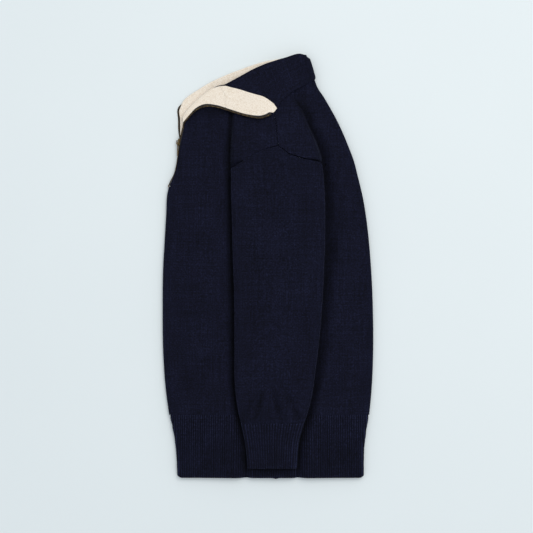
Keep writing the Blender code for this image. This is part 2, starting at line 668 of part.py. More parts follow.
def zip_pull(finish, collection):
    # A flat tab with an eye round the bridge; its origin is on the hinge, which runs along Z
    half, thick, eye = PULL["width"] / 2, PULL["thick"], PULL["eye"]
    outline = bpy.data.curves.new("zip_pull", "CURVE")
    outline.dimensions = "2D"
    outline.fill_mode = "BOTH"
    outline.extrude = thick / 2 * MM
    length = PULL["length"]
    edge = [
        (0.6, -half), (0.6, half), (-length * 0.55, half * 0.86), (-length, half),
        (-length - 1.6, half * 0.55), (-length - 1.6, -half * 0.55), (-length, -half), (-length * 0.55, -half * 0.86),
    ]
    hole = [(-0.6, -eye / 2), (-4.6, -eye / 2), (-4.6, eye / 2), (-0.6, eye / 2)]
    for loop in (edge, hole):
        spline = outline.splines.new("POLY")
        spline.points.add(len(loop) - 1)
        spline.use_cyclic_u = True
        for point, (a, b) in zip(spline.points, loop):
            point.co = (a * MM, b * MM, 0.0, 1.0)
    outline.materials.append(finish)
    thing = bpy.data.objects.new("zip_pull", outline)
    collection.objects.link(thing)
    # Local x runs up the garment, local y across it, local z out of the tab
    thing.rotation_euler = (np.radians(90.0), 0.0, np.radians(90.0))
    thing.location = metres((slider_face_x() - SLIDER["plate"] - 1.2, SLIDER_Y, SLIDER["middle"]))
    return thing


def zip_stop(finish, collection):
    x = float(along(ZIP_EDGE, STOP_Y))
    thing = box("zip_stop", (x - 1.6, STOP_Y - 3.2, 2.6), (x + 0.1, STOP_Y + 1.2, 5.9), finish, collection)
    edges = thing.modifiers.new("Edges", "BEVEL")
    edges.width = 0.4 * MM
    edges.segments = 2
    return thing


def build():
    clear_scene()
    collection = bpy.data.collections.new("quarter_zip_sweater")
    cutters = bpy.data.collections.new("cutters")
    for group in (collection, cutters):
        bpy.context.scene.collection.children.link(group)
    navy = material("navy_wool_knit", NAVY, 0.95)
    cream = material("cream_cotton_facing", CREAM, 0.9)
    black = material("black_zip_tape", BLACK, 0.85)
    brass = material("antique_brass", BRASS, 0.35, 1.0)
    body_panel("front", FRONT_ROWS, -1, navy, collection)
    body_panel("back", BACK_ROWS, 1, navy, collection)
    hem_rib("front_hem_rib", -1, navy, collection)
    hem_rib("back_hem_rib", 1, navy, collection)
    sleeve("sleeve_left", True, navy, collection)
    sleeve("sleeve_right", False, navy, collection)
    cuff("cuff_left", True, navy, collection)
    cuff("cuff_right", False, navy, collection)
    collar(navy, collection)
    neck_lining(cream, collection)
    zip_facing(cream, collection)
    zip_tape("zip_tape_left", True, black, collection)
    zip_tape("zip_tape_right", False, black, collection)
    zip_slider(brass, collection, cutters)
    zip_pull(brass, collection)
    zip_stop(brass, collection)


build()
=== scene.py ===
import bpy
import numpy as np
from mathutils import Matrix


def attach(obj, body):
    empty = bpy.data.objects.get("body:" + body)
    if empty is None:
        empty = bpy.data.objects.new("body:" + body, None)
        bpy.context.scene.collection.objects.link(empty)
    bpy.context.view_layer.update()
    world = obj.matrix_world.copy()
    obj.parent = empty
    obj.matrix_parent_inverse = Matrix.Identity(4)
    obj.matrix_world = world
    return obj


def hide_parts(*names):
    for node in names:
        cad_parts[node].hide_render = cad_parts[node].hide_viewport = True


# Quarter-zip sweater laid on its side. Tables are in millimetres on the plan, finished meshes in metres.
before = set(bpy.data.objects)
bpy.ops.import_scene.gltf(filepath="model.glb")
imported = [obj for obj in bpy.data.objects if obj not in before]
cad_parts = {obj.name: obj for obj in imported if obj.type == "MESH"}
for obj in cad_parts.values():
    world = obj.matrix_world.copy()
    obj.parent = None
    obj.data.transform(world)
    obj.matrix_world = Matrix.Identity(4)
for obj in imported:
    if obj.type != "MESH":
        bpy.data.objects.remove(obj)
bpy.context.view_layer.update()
bodyName = "sweater"
mm = 0.001
middle = np.array([-0.05, 2.56, 0.0])     # middle of the garment in the tables' millimetres
wall = 2.3                                # thickness of the wool knit
thinWall = 1.0                            # thickness of facing and tape
sideSeamX = 14.2                          # the side seam, straight under the near sleeve


# helpers

def smooth(t):
    # 3t^2 - 2t^3, held at 0 and 1 outside
    t = np.clip(t, 0.0, 1.0)
    return t * t * (3.0 - 2.0 * t)


def softCurve(knots, values, at):
    # Cubic through the knots; the slope at each knot is the mean of its two sides
    knots = np.asarray(knots, float)
    values = np.asarray(values, float)
    order = np.argsort(knots)
    knots, values = knots[order], values[order]
    slopes = np.gradient(values, knots, axis=0)
    at = np.clip(np.asarray(at, float), knots[0], knots[-1])
    index = np.clip(np.searchsorted(knots, at) - 1, 0, len(knots) - 2)
    step = knots[index + 1] - knots[index]
    t = (at - knots[index]) / step
    if values.ndim == 2:
        step, t = step[..., None], t[..., None]
    first = (2 * t ** 3 - 3 * t ** 2 + 1) * values[index] + (t ** 3 - 2 * t ** 2 + t) * step * slopes[index]
    second = (3 * t ** 2 - 2 * t ** 3) * values[index + 1] + (t ** 3 - t ** 2) * step * slopes[index + 1]
    return first + second


def straightCurve(knots, values, at):
    # The same through straight pieces, for seams with corners
    values = np.asarray(values, float)
    return np.stack([np.interp(at, knots, values[:, k]) for k in range(values.shape[1])], axis=-1)


def between(start, end, shares):
    # start + share * (end - start), a row of points for each start
    return start[:, None] + np.atleast_2d(shares)[..., None] * (end - start)[:, None]


def edgeSteps(count, length, thick):
    # Parameters from 0 to 1 over a rough length in mm, with three close steps at each end, and the wall's
    # share there for a rounded edge
    near = np.array([0.0, 0.12, 0.4, 1.0]) * thick / 2 / length
    inner = np.linspace(near[-1], 1 - near[-1], count)
    steps = np.concatenate([near[:-1], inner, 1 - near[:-1][::-1]])
    share = np.concatenate([[0.15, 0.6, 0.88], np.ones(count), [0.88, 0.6, 0.15]])
    return steps, share


def alongPath(points):
    # Length from the first point to each one
    return np.concatenate([[0], np.cumsum(np.linalg.norm(np.diff(points, axis=0), axis=1))])


def unit(vectors):
    # Each vector over its length
    return vectors / np.maximum(np.linalg.norm(vectors, axis=-1, keepdims=True), 1e-9)


def pieceOf(thing, material, *nodes):
    # Rides on the sweater in its material's slot, in place of the nodes
    thing.data.materials.append(material)
    bpy.context.scene.collection.objects.link(thing)
    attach(thing, bodyName)
    if nodes:
        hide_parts(*nodes)
    return thing


def quadsOf(row, column, after, wide):
    # Corners of the grid's faces, each between a row and the next, a column and the one after
    corners = [row * wide + column, row * wide + after, (row + 1) * wide + after, (row + 1) * wide + column]
    return np.stack(corners, axis=-1).reshape(-1, 4)


def sheet(name, node, points, uv, material, share, thick=wall, around=False, keep=None, shade=None):
    # Makes a grid of points (rows, columns, 3) in millimetres into a mesh with a wall; share thins the wall
    # at edges, around closes each row, keep chooses faces, shade is painted shade stored for the material
    rows, columns = points.shape[:2]
    row, column = np.meshgrid(np.arange(rows - 1), np.arange(columns - (not around)), indexing="ij")
    if keep is not None:
        chosen = keep(row, column)
        row, column = row[chosen], column[chosen]
    faces = quadsOf(row, column, (column + 1) % columns, columns)
    corners = quadsOf(row, column, column + 1, uv.shape[1]).ravel()
    used = np.unique(faces)
    renumber = np.zeros(rows * columns, int)
    renumber[used] = np.arange(len(used))
    flat = points.reshape(-1, 3)[used]
    quads = renumber[faces]
    mesh = bpy.data.meshes.new(name)
    mesh.from_pydata(((flat - middle) * mm).tolist(), [], quads.tolist())
    layer = mesh.uv_layers.new(name="cloth")
    layer.data.foreach_set("uv", uv.reshape(-1, 2)[corners].astype(np.float32).ravel())
    mesh.polygons.foreach_set("use_smooth", np.ones(len(quads), bool))
    if shade is not None:
        shadeToPaint = mesh.attributes.new("shade", "FLOAT", "POINT")
        shadeToPaint.data.foreach_set("value", shade.reshape(-1)[used].astype(np.float32))
    thing = bpy.data.objects.new(name, mesh)
    solid = thing.modifiers.new("Wall", "SOLIDIFY")
    solid.thickness = thick * mm
    solid.offset = 0.0
    group = thing.vertex_groups.new(name="wall")
    weights = np.broadcast_to(share, (rows, columns)).reshape(-1)[used]
    for value in np.unique(weights):
        group.add(np.flatnonzero(weights == value).tolist(), float(value), "REPLACE")
    solid.vertex_group = group.name
    solid.thickness_vertex_group = 0.05
    return pieceOf(thing, material, node)


# materials

def linear(code):
    # sRGB hex to linear colour
    values = [int(code[i:i + 2], 16) / 255 for i in (1, 3, 5)]
    return tuple(v / 12.92 if v <= 0.04045 else ((v + 0.055) / 1.055) ** 2.4 for v in values) + (1.0,)


def add(tree, kind, inputs=None, **settings):
    # One node with its settings; an input is a value or another node's socket
    node = tree.nodes.new(kind)
    for key, value in settings.items():
        setattr(node, key, value)
    for key, value in (inputs or {}).items():
        if isinstance(value, bpy.types.NodeSocket):
            tree.links.new(value, node.inputs[key])
        else:
            node.inputs[key].default_value = value
    return node


def sums(tree, operation, *terms):
    return add(tree, "ShaderNodeMath", dict(enumerate(terms)), operation=operation).outputs[0]


def fromMiddleOf(tree, value):
    # |fract(value) - 1/2|: 0 in the middle of each whole step, 1/2 at its ends
    return sums(tree, "ABSOLUTE", sums(tree, "SUBTRACT", sums(tree, "FRACT", value), 0.5))


def noise(tree, place, scale, detail=2.0, roughness=0.5):
    values = {"Vector": place, "Scale": scale, "Detail": detail, "Roughness": roughness}
    return add(tree, "ShaderNodeTexNoise", values).outputs["Fac"]


def ramp(tree, factor, *stops):
    # Colour ramp through stops of position and hex colour
    node = add(tree, "ShaderNodeValToRGB", {0: factor})
    elements = node.color_ramp.elements
    for element, (position, code) in zip(elements, (stops[0], stops[-1])):
        element.position = position
        element.color = linear(code)
    for position, code in stops[1:-1]:
        elements.new(position).color = linear(code)
    return node.outputs[0]


def bumped(tree, shader, height, strength, distance):
    values = {"Height": height, "Strength": strength, "Distance": distance}
    tree.links.new(add(tree, "ShaderNodeBump", values).outputs[0], shader.inputs["Normal"])


def newMaterial(name, shaderValues):
    material = bpy.data.materials.new(name)
    material.use_nodes = True
    tree = material.node_tree
    shader = tree.nodes["Principled BSDF"]
    for key, value in shaderValues.items():
        shader.inputs[key].default_value = value
    return material, tree, shader


woolLook = {
    "dark": "#030409",       # shaded yarn between the stitches
    "mid": "#111326",        # the dyed navy
    "light": "#2d3352",      # fibre ends that catch the light
    "roughness": 0.92,       # matt wool
    "sheen": 0.2,            # soft halo of loose fibres
    "walePitch": 2.3,        # drawn a little coarser than the real 1.9 mm so that it shows
    "coursePitch": 1.9,
    "bump": 0.55,            # how deep the stitches look
    "streak": 0.25,          # how much single courses and wales differ
    "paintedShade": 0.24,         # painted shade: how much darker the colour is made in creases, fold hollows and under parts
}


def woolKnit(name, look, ribPitch=0.0):
    # Lambswool yarn, machine knitted in stocking stitch: columns of small Vs, matt with a faint halo
    material, tree, shader = newMaterial(name, {
        "Roughness": look["roughness"], "Sheen Weight": look["sheen"], "Sheen Roughness": 0.3,
        "Sheen Tint": linear("#7f8ab8"), "Specular IOR Level": 0.12, "IOR": 1.45,
    })
    uv = add(tree, "ShaderNodeUVMap", uv_map="cloth").outputs[0]
    parts = add(tree, "ShaderNodeSeparateXYZ", {0: uv})
    place = add(tree, "ShaderNodeTexCoord").outputs["Object"]
    wander = noise(tree, place, 160.0)
    u = sums(tree, "MULTIPLY_ADD", wander, 0.5, parts.outputs[0])
    v = sums(tree, "MULTIPLY_ADD", wander, 0.5, parts.outputs[1])
    fromMiddle = fromMiddleOf(tree, sums(tree, "DIVIDE", u, look["walePitch"]))
    # Each leg of the V leans: the course coordinate moves down with the distance from the wale's middle
    leaned = sums(tree, "MULTIPLY_ADD", fromMiddle, -1.1, sums(tree, "DIVIDE", v, look["coursePitch"]))
    loop = fromMiddleOf(tree, leaned)
    leg = sums(tree, "SINE", sums(tree, "MULTIPLY", fromMiddle, 2 * np.pi))
    yarn = sums(tree, "MULTIPLY", sums(tree, "SUBTRACT", 1.0, sums(tree, "MULTIPLY", loop, 1.5)), leg)
    fuzz = noise(tree, place, 1400.0, 3.0, 0.7)
    patches = noise(tree, place, 22.0, 3.0, 0.6)
    fleck = noise(tree, place, 420.0, 2.0, 0.65)
    flecks = sums(tree, "MULTIPLY", sums(tree, "MULTIPLY_ADD", fleck, 1.6, -0.3), 0.55)
    tone = sums(tree, "ADD", sums(tree, "MULTIPLY", yarn, 0.34), flecks)
    tone = sums(tree, "ADD", tone, sums(tree, "MULTIPLY_ADD", patches, 0.22, -0.14))
    # Uneven yarn shows as faint streaks along single courses and wales
    for stretch in ((0.012, 0.5, 1.0), (0.45, 0.014, 1.0)):
        drawn = add(tree, "ShaderNodeVectorMath", {0: uv, 1: stretch}, operation="MULTIPLY").outputs[0]
        streak = noise(tree, drawn, 1.0, 1.0)
        strength = look["streak"]
        tone = sums(tree, "ADD", tone, sums(tree, "MULTIPLY_ADD", streak, strength, -strength / 2))
    if ribPitch:
        # Painted shade: ribs are darker in the furrows between them, on top of their relief
        furrow = fromMiddleOf(tree, sums(tree, "DIVIDE", parts.outputs[0], ribPitch))
        tone = sums(tree, "ADD", tone, sums(tree, "MULTIPLY_ADD", furrow, -0.9, 0.26))
    # Painted shade: the shade attribute darkens the colour in creases and fold hollows, and under the cuff's
    # end and the lapel
    shadeToPaint = add(tree, "ShaderNodeAttribute", attribute_name="shade").outputs["Fac"]
    tone = sums(tree, "SUBTRACT", tone, sums(tree, "MULTIPLY", shadeToPaint, look["paintedShade"]))
    dyed = ramp(tree, tone, (0.12, look["dark"]), (0.5, look["mid"]), (0.95, look["light"]))
    tree.links.new(dyed, shader.inputs["Base Color"])
    height = sums(tree, "ADD", yarn, sums(tree, "MULTIPLY", fuzz, 0.45))
    bumped(tree, shader, height, look["bump"], 0.0007)
    return material


creamLook = dict(woolLook, streak=0.15, dark="#d6c6b2", mid="#ece3d6", light="#fbf4ea", sheen=0.12,
                 walePitch=1.7, coursePitch=1.3, bump=0.3, roughness=0.88)
tapeLook = {"dark": "#08080a", "light": "#1d1c20", "pitch": 0.9, "rows": 2.4, "roughness": 0.8}
brassLook = {"patina": "#20180e", "metal": "#50412a", "bright": "#86714a", "roughness": 0.34}


def zipTapeCloth(look):
    # Polyester herringbone tape: tight slanted ridges, dull black
    values = {"Roughness": look["roughness"], "Sheen Weight": 0.15}
    material, tree, shader = newMaterial("polyester zip tape", values)
    parts = add(tree, "ShaderNodeSeparateXYZ", {0: add(tree, "ShaderNodeUVMap", uv_map="cloth").outputs[0]})
    slant = fromMiddleOf(tree, sums(tree, "DIVIDE", parts.outputs[0], look["rows"]))
    pick = sums(tree, "DIVIDE", parts.outputs[1], look["pitch"])
    ridge = sums(tree, "FRACT", sums(tree, "MULTIPLY_ADD", slant, 2.0, pick))
    woven = ramp(tree, ridge, (0.0, look["dark"]), (1.0, look["light"]))
    tree.links.new(woven, shader.inputs["Base Color"])
    bumped(tree, shader, ridge, 0.4, 0.0003)
    return material


def antiqueBrass(look):
    # Cast and tumbled brass, darkened and rubbed back: brown in the hollows, yellow on worn corners
    material, tree, shader = newMaterial("antique brass", {"Metallic": 1.0, "Roughness": look["roughness"]})
    place = add(tree, "ShaderNodeTexCoord").outputs["Object"]
    stain = noise(tree, place, 260.0, 4.0, 0.65)
    metal = ramp(tree, stain, (0.3, look["patina"]), (0.5, look["metal"]), (0.72, look["bright"]))
    tree.links.new(metal, shader.inputs["Base Color"])
    dull, polished = look["roughness"] + 0.2, look["roughness"] - 0.06
    worn = add(tree, "ShaderNodeMapRange", {"Value": stain, "To Min": dull, "To Max": polished})
    tree.links.new(worn.outputs[0], shader.inputs["Roughness"])
    bumped(tree, shader, noise(tree, place, 2200.0), 0.25, 0.0001)
    return material


jersey = woolKnit("lambswool jersey", woolLook)
ribKnit = woolKnit("lambswool rib", woolLook, ribPitch=3.9)
creamKnit = woolKnit("cream cotton jersey", creamLook)
creamKnit.node_tree.nodes["Principled BSDF"].inputs["Sheen Tint"].default_value = linear("#fff6e6")
tapeCloth = zipTapeCloth(tapeLook)
brass = antiqueBrass(brassLook)
print("materials made")


# the body's form

bodyForm = {
    "ground": 1.25,           # middle of a wall that lies on the floor
    "flank": 7.4,             # middle of the upper wall beside the sleeves
    "bedRise": 3.3,           # more where it lies over the far sleeve
    "bedWidth": 11.0,
    "farRise": 6.0,
    "valley": 3.7,            # depth of the furrow along the sleeve
    "valleyWidth": (6.4, 11.0),       # at the left and the right crease
    "bank": (13.0, 24.0),             # from the furrow to the top of the flank
    "puff": 4.6,              # loft of the flank beside the furrow, less towards the outer fold
    "puffWidth": 46.0,
    # y, x of the near sleeve's two creases
    "leftCrease": [(-358.6, -36.6), (-331.4, -38.3), (-303.4, -41.8), (-275.4, -47.6), (-245.2, -54.6),
                   (-203.7, -59.3), (-145.9, -60.2), (-58.4, -60.5), (29.1, -63.3), (86.8, -64.6),
                   (146.3, -66.3), (204.1, -65.8), (268.8, -62.8)],
    "rightCrease": [(-358.6, 50.9), (-331.4, 52.7), (-303.4, 55.3), (-280.7, 61.4), (-256.2, 70.2),
                    (-221.2, 78.9), (-175.2, 85.4), (-128.4, 91.2), (-67.2, 96.4), (-0.7, 99.9),
                    (72.8, 101.7), (146.3, 99.9), (192.3, 94.2), (224.2, 83.7), (249.2, 72.1), (280.0, 58.6),
                    (295.4, 47.1)],
    # y, height of the shoulder over the flank
    "shoulder": [(214.0, 12.4), (232.1, 9.8), (247.8, 7.5), (263.6, 5.2), (279.3, 3.3)],
}

sleeveForm = {
    "step": 3.6,              # from the body to the wall of the sleeve on it
    "loft": 5.9, "farLoft": 3.1, "cuffLoft": 4.4,
    "inset": 3.0,             # from the crease to the sleeve's edge
    "farInset": 18.0,         # the far sleeve is drawn narrower, so that the flanks over it stay flat
    "headGap": 0.7, "underarmGap": 8.0,       # from the armhole to the sleeve's first row
    "puff": 0.9,              # how much the upper wall arches
    "cuffTop": -270.8, "cuffEnd": -349.5, "leanFrom": -100.0, "top": 176.0,   # y along the sleeve
    # x, y where the near sleeve joins the shoulder, and the hidden lower half of the armhole
    "head": [(-60.0, 175.0), (-36.6, 191.8), (-10.3, 206.7), (17.7, 214.6), (36.0, 200.6), (60.0, 193.2),
             (92.0, 187.5)],
    "underarm": [(-60.0, 176.1), (-48.8, 134.1), (-33.1, 90.3), (-10.3, 46.6), (14.2, 2.8), (42.2, 46.6),
                 (66.7, 90.3), (83.3, 134.1), (92.0, 178.0)],
}

# Soft folds pressed into the near cloth: x, y, heading in degrees, half length, half width, depth
bodyFolds = [
    (-105, 258, 100, 24, 7, -1.1), (-93, 240, 108, 34, 8, -1.2), (-80, 246, 96, 30, 7, 0.8),
    (-122, 226, 115, 40, 10, -0.9), (112, 28, 95, 30, 9, -3.4), (120, 66, 84, 34, 9, -2.6),
    (104, 150, 98, 60, 12, -1.5), (112, -40, 92, 60, 12, -1.0), (98, 226, 62, 34, 10, -1.3),
    (76, 262, 55, 30, 10, -1.2), (-150, -200, 95, 60, 9, 0.6), (-96, -150, 88, 90, 14, 0.7),
    (130, -160, 93, 90, 14, 0.8), (-84, 20, 91, 120, 10, -0.8), (150, 40, 100, 70, 12, 0.7),
    (-140, 60, 86, 80, 14, -0.5), (-74, 214, 92, 40, 6, -1.0), (20, 240, 88, 16, 8, -0.6),
    (62, 216, 60, 22, 9, -1.0), (14.0, 246, 94, 34, 2.2, -0.9), (17.6, 246, 94, 30, 1.9, 0.8),
]
sleeveFolds = [
    (-20, 18, 100, 26, 7, -1.0), (-14, -236, 80, 24, 5, -3.0), (17, -243, 104, 28, 5.5, -3.4),
    (2, -238, 92, 22, 5, 1.6), (-34, -246, 70, 22, 5, -2.0), (42, -240, 114, 30, 6, -2.2),
    (30, -256, 98, 14, 3.5, -1.6), (-24, -258, 84, 14, 3.5, -1.5), (4, -260, 90, 12, 3, -1.4),
    (52, -256, 110, 16, 4, -1.5), (-42, -262, 78, 14, 4, -1.4), (60, 120, 95, 60, 14, -0.9),
    (-46, 90, 88, 70, 10, -0.7), (30, 150, 100, 40, 16, 0.9), (20, -60, 92, 120, 22, 0.9),
    (-30, -120, 88, 80, 12, -0.6), (66, -90, 95, 70, 9, -0.8),
]


def folds(table, x, y):
    # Sum of depth * exp(-(a/length)^2 - (b/width)^2), a along the heading and b across it
    total = np.zeros_like(x)
    for foldX, foldY, heading, length, width, depth in table:
        turn = np.radians(heading)
        a = (x - foldX) * np.cos(turn) + (y - foldY) * np.sin(turn)
        b = (y - foldY) * np.cos(turn) - (x - foldX) * np.sin(turn)
        total = total + depth * np.exp(-(a / length) ** 2 - (b / width) ** 2)
    return total


def ripple(x, y):
    # Slow uneven waves of a few tenths of a millimetre
    return (0.22 * np.sin(x / 17.0 + 1.1 * np.sin(y / 41.0)) + 0.2 * np.sin(y / 29.0 + x / 63.0 + 0.7)
            + 0.12 * np.sin(x / 7.3 - y / 23.0))


def inside(x, y):
    # Distance inside the near sleeve's footprint, negative on the flanks
    form = bodyForm
    left = softCurve(*zip(*form["leftCrease"]), y)
    right = softCurve(*zip(*form["rightCrease"]), y)
    return np.minimum(x - left, right - x)


def nearHeight(x, y, under):
    # flank + bed under the sleeve or shoulder above it - furrow at the crease + folds
    form = bodyForm
    depth = inside(x, y)
    right = smooth((x - 5.0) / 30.0)
    upper = smooth((y + 250.0) / 120.0)
    width = form["valleyWidth"][0] + (form["valleyWidth"][1] - form["valleyWidth"][0]) * right * upper
    bank = form["bank"][0] + (form["bank"][1] - form["bank"][0]) * right * upper
    # Beside the cuff the hem dips further out
    beside = 1 - smooth((y + 285.0) / 45.0)
    width = np.where(depth > 0, 4.6, width + 3.5 * beside)
    bank = bank + 9.0 * beside
    bed = form["bedRise"] * smooth(depth / form["bedWidth"])
    rise = np.interp(y, *zip(*form["shoulder"])) * smooth((depth + 1.0) / 7.5)
    furrow = form["valley"] * np.exp(-(depth / width) ** 2) * smooth((297.0 - y) / 30.0)
    lift = 2.0 * smooth((y - 270.0) / 45.0) * smooth(-depth / 8.0 + 1.0)
    top = form["flank"] + under * bed + (1 - under) * np.maximum(rise, lift) - furrow
    away = np.clip(-depth, 0, None)
    puff = form["puff"] * smooth(away / bank) * np.exp(-np.clip(away - bank, 0, None) / form["puffWidth"])
    puff = puff * smooth((300.0 - y) / 60.0)
    wave = folds(bodyFolds, x, y) * (1 - under * smooth(depth / 6.0)) + 0.7 * ripple(x, y)
    return top + puff + wave * smooth(-depth / 12.0 + 1.6)


def paintedShadeMap(x, y):
    # Painted shade for the knit's colour: a gaussian on the flank's side of each crease, wider at the right
    # one and beside the cuff; painted shadow under the cuff's end and under the lapel
    depth = inside(x, y)
    away = np.where(depth < 0, -depth, 2.2 * depth)
    right = smooth((x - 5.0) / 30.0)
    beside = 1 - smooth((y + 290.0) / 40.0)
    width = 6.5 + 5.0 * right * (1 - beside) + 1.5 * beside
    amount = (1.0 - 0.3 * right * (1 - beside)) * np.exp(-(away / width) ** 2) * smooth((300.0 - y) / 14.0)
    below = 0.9 * np.exp(-((y - sleeveForm["cuffEnd"] + 1.5) / 4.0) ** 2) * smooth(depth / 4.0 + 1.0)
    lapel = 0.6 * np.exp(-((y - 273.0) / 7.5) ** 2 - ((x + 100.0) / 27.0) ** 2)
    return np.maximum(np.maximum(amount * smooth((y + 362.0) / 14.0), below), lapel)


def farHeight(x, y, under):
    # Flat on the floor, with a bed over the far sleeve
    form = bodyForm
    return form["ground"] + under * form["farRise"] * smooth((inside(x, y) - 3.0) / 12.0)


# Rows of the two body panels, hem to neck: seam x, seam y, fold x, fold y, inset of an open edge
frontRows = [
    (14.2, -257.0, -174.5, -257.0, 0), (14.2, -215.9, -180.1, -215.9, 0), (14.2, -145.9, -185.0, -145.9, 0),
    (14.2, -75.9, -185.9, -75.9, 0), (14.2, 2.8, -184.7, 8.0, 0), (-10.3, 46.6, -181.9, 53.6, 0),
    (-33.1, 90.3, -179.5, 92.1, 0), (-48.8, 134.1, -175.6, 138.0, 0), (-56.7, 176.1, -164.6, 165.0, 0.7),
    (-36.6, 191.8, -159.6, 186.6, 0.7), (-10.3, 206.7, -157.3, 204.1, 0.8), (17.7, 214.6, -155.2, 218.1, 1.6),
    (15.9, 232.1, -150.4, 234.0, -0.4), (14.2, 247.8, -146.4, 252.0, -1.6),
    (12.4, 263.6, -133.5, 266.8, -2.2), (11.4, 272.6, -122.4, 277.2, -0.8), (10.7, 279.3, -106.6, 284.2, -1.6),
]
backRows = [
    (14.2, -257.0, 178.9, -257.0, 0), (14.2, -215.9, 182.8, -215.9, 0), (14.2, -145.9, 185.8, -145.9, 0),
    (14.2, -75.9, 185.4, -75.9, 0), (14.2, 2.8, 181.5, 8.1, 0), (42.2, 46.6, 178.2, 46.6, 0),
    (66.7, 90.3, 173.6, 85.1, 0), (83.3, 134.1, 167.8, 120.1, 0), (90.0, 187.5, 159.0, 156.8, 0),
    (60.0, 193.2, 150.6, 190.1, 0), (36.0, 200.6, 141.4, 214.6, 0), (18.6, 213.7, 132.5, 236.4, 0),
    (15.9, 232.1, 120.0, 262.7, 0), (14.2, 247.8, 109.4, 281.9, 0), (12.4, 263.6, 99.1, 299.4, 0),
    (10.7, 279.3, 87.3, 317.5, 0), (16.5, 296.0, 81.5, 333.0, 0),
]
armholeRow = 8                # up to this row the panel lies between the sleeves
slitRow = 7.25                # from here up the front edge is open
turnAngles = np.radians(np.linspace(0, 180, 10)[1:-1])
seamGap = 0.1                 # half of the groove between two joined panels
foldReach = 4.2               # how far the rounded edge stands out from where the fold begins


def wrappedSheet(seam, fold, under, slit, inset, across, acrossFar, side):
    # Near layer from seam to fold, a half turn z = middle + r cos(a), x out by reach sin(a), and the far
    # layer back; side is -1 for the front and 1 for the back
    outward = unit(fold - seam)
    start = fold - outward * np.where(slit, inset, foldReach)[:, None]
    plan = between(seam, start, across)
    under = under[:, None]
    near = np.dstack([plan, nearHeight(plan[..., 0], plan[..., 1], under)])
    planFar = between(seam, start, acrossFar)
    far = np.dstack([planFar, farHeight(planFar[..., 0], planFar[..., 1], under)])[:, ::-1]
    top, bottom = near[:, -1:, 2], far[:, :1, 2]
    reach = np.where(slit, 0.6, foldReach - wall / 2)[:, None]
    out = reach * np.sin(turnAngles)[None]
    turn = np.dstack([near[:, -1:, 0] + outward[:, :1] * out, near[:, -1:, 1] + outward[:, 1:] * out,
                      (top + bottom) / 2 + (top - bottom) / 2 * np.cos(turnAngles)[None]])
    points = np.concatenate([near, turn, far], axis=1)
    arc = np.pi / 2 * (top - bottom) / 2 + 3.0
    u = near[..., 0]
    uTurn = u[:, -1:] + side * arc * (turnAngles / np.pi)[None]
    uFar = uTurn[:, -1:] + side * np.abs(far[..., 0] - far[:, :1, 0])
    uv = np.dstack([np.concatenate([u, uTurn, uFar], axis=1), points[..., 1]])
    return points, uv


def bodyPanel(name, table, side, rowCount, columnCount):
    table = np.array(table, float)
    length = alongPath(table[:, 2:4])
    steps, rowShare = edgeSteps(rowCount, length[-1], wall)
    rowShare[:3] = 1.0
    at = steps * length[-1]
    index = np.interp(at, length, np.arange(len(table)))
    seam = straightCurve(length, table[:, 0:2], at)
    seam[:, 0] += side * (seamGap + 0.2 * smooth(index - 10.0))
    fold = softCurve(length, table[:, 2:4], at)
    under = smooth(armholeRow + 1.0 - index)
    slit = (table[:, 4].max() > 0) & (index > slitRow)
    inset = np.interp(np.maximum(index, armholeRow), np.arange(len(table)), table[:, 4])
    across, columnShare = edgeSteps(columnCount, 190.0, wall)
    acrossFar = np.linspace(0.0, 1.0, 44)
    points, uv = wrappedSheet(seam, fold, under, slit, inset, across[:-3], acrossFar, side)
    nearCount = len(across) - 3
    share = np.ones(points.shape[1])
    share[:nearCount] = columnShare[:-3]
    share = np.minimum(rowShare[:, None], share[None])

    def keep(row, column):
        return ~(slit[row + 1] & (column >= nearCount - 1) & (column < nearCount + len(turnAngles)))

    # The shade here is painted shade along the creases and painted shadow under the lapel
    return sheet(name, "front" if side < 0 else "back", points, uv, jersey, share, keep=keep,
                 shade=paintedShadeMap(points[..., 0], points[..., 1]))


frontKnit = bodyPanel("frontKnit", frontRows, -1, 200, 84)
backKnit = bodyPanel("backKnit", backRows, 1, 200, 78)
print("front and back laid")


# ribbed hem

hemRib = {
    "top": -257.05, "end": -367.4, "pitch": 3.9, "height": 1.25, "perPitch": 6, "rows": 26,
    # y, front fold x, back fold x
    "edges": [(-367.6, -158.9, 168.7), (-338.4, -160.4, 168.8), (-303.4, -163.3, 170.7),
              (-280.2, -167.5, 173.9), (-256.0, -172.8, 177.8)],
}
ribWall = wall - 0.4          # between the raised ribs


def raised(points, relief):
    # Moves a grid outward along its normals by the relief
    normal = unit(np.cross(np.gradient(points, axis=0), np.gradient(points, axis=1)))
    return points + normal * relief[..., None]


def ribProfile(distance, pitch):
    # One round rib per pitch: |cos| to the power 0.6
    return np.abs(np.cos(np.pi * distance / pitch)) ** 0.6


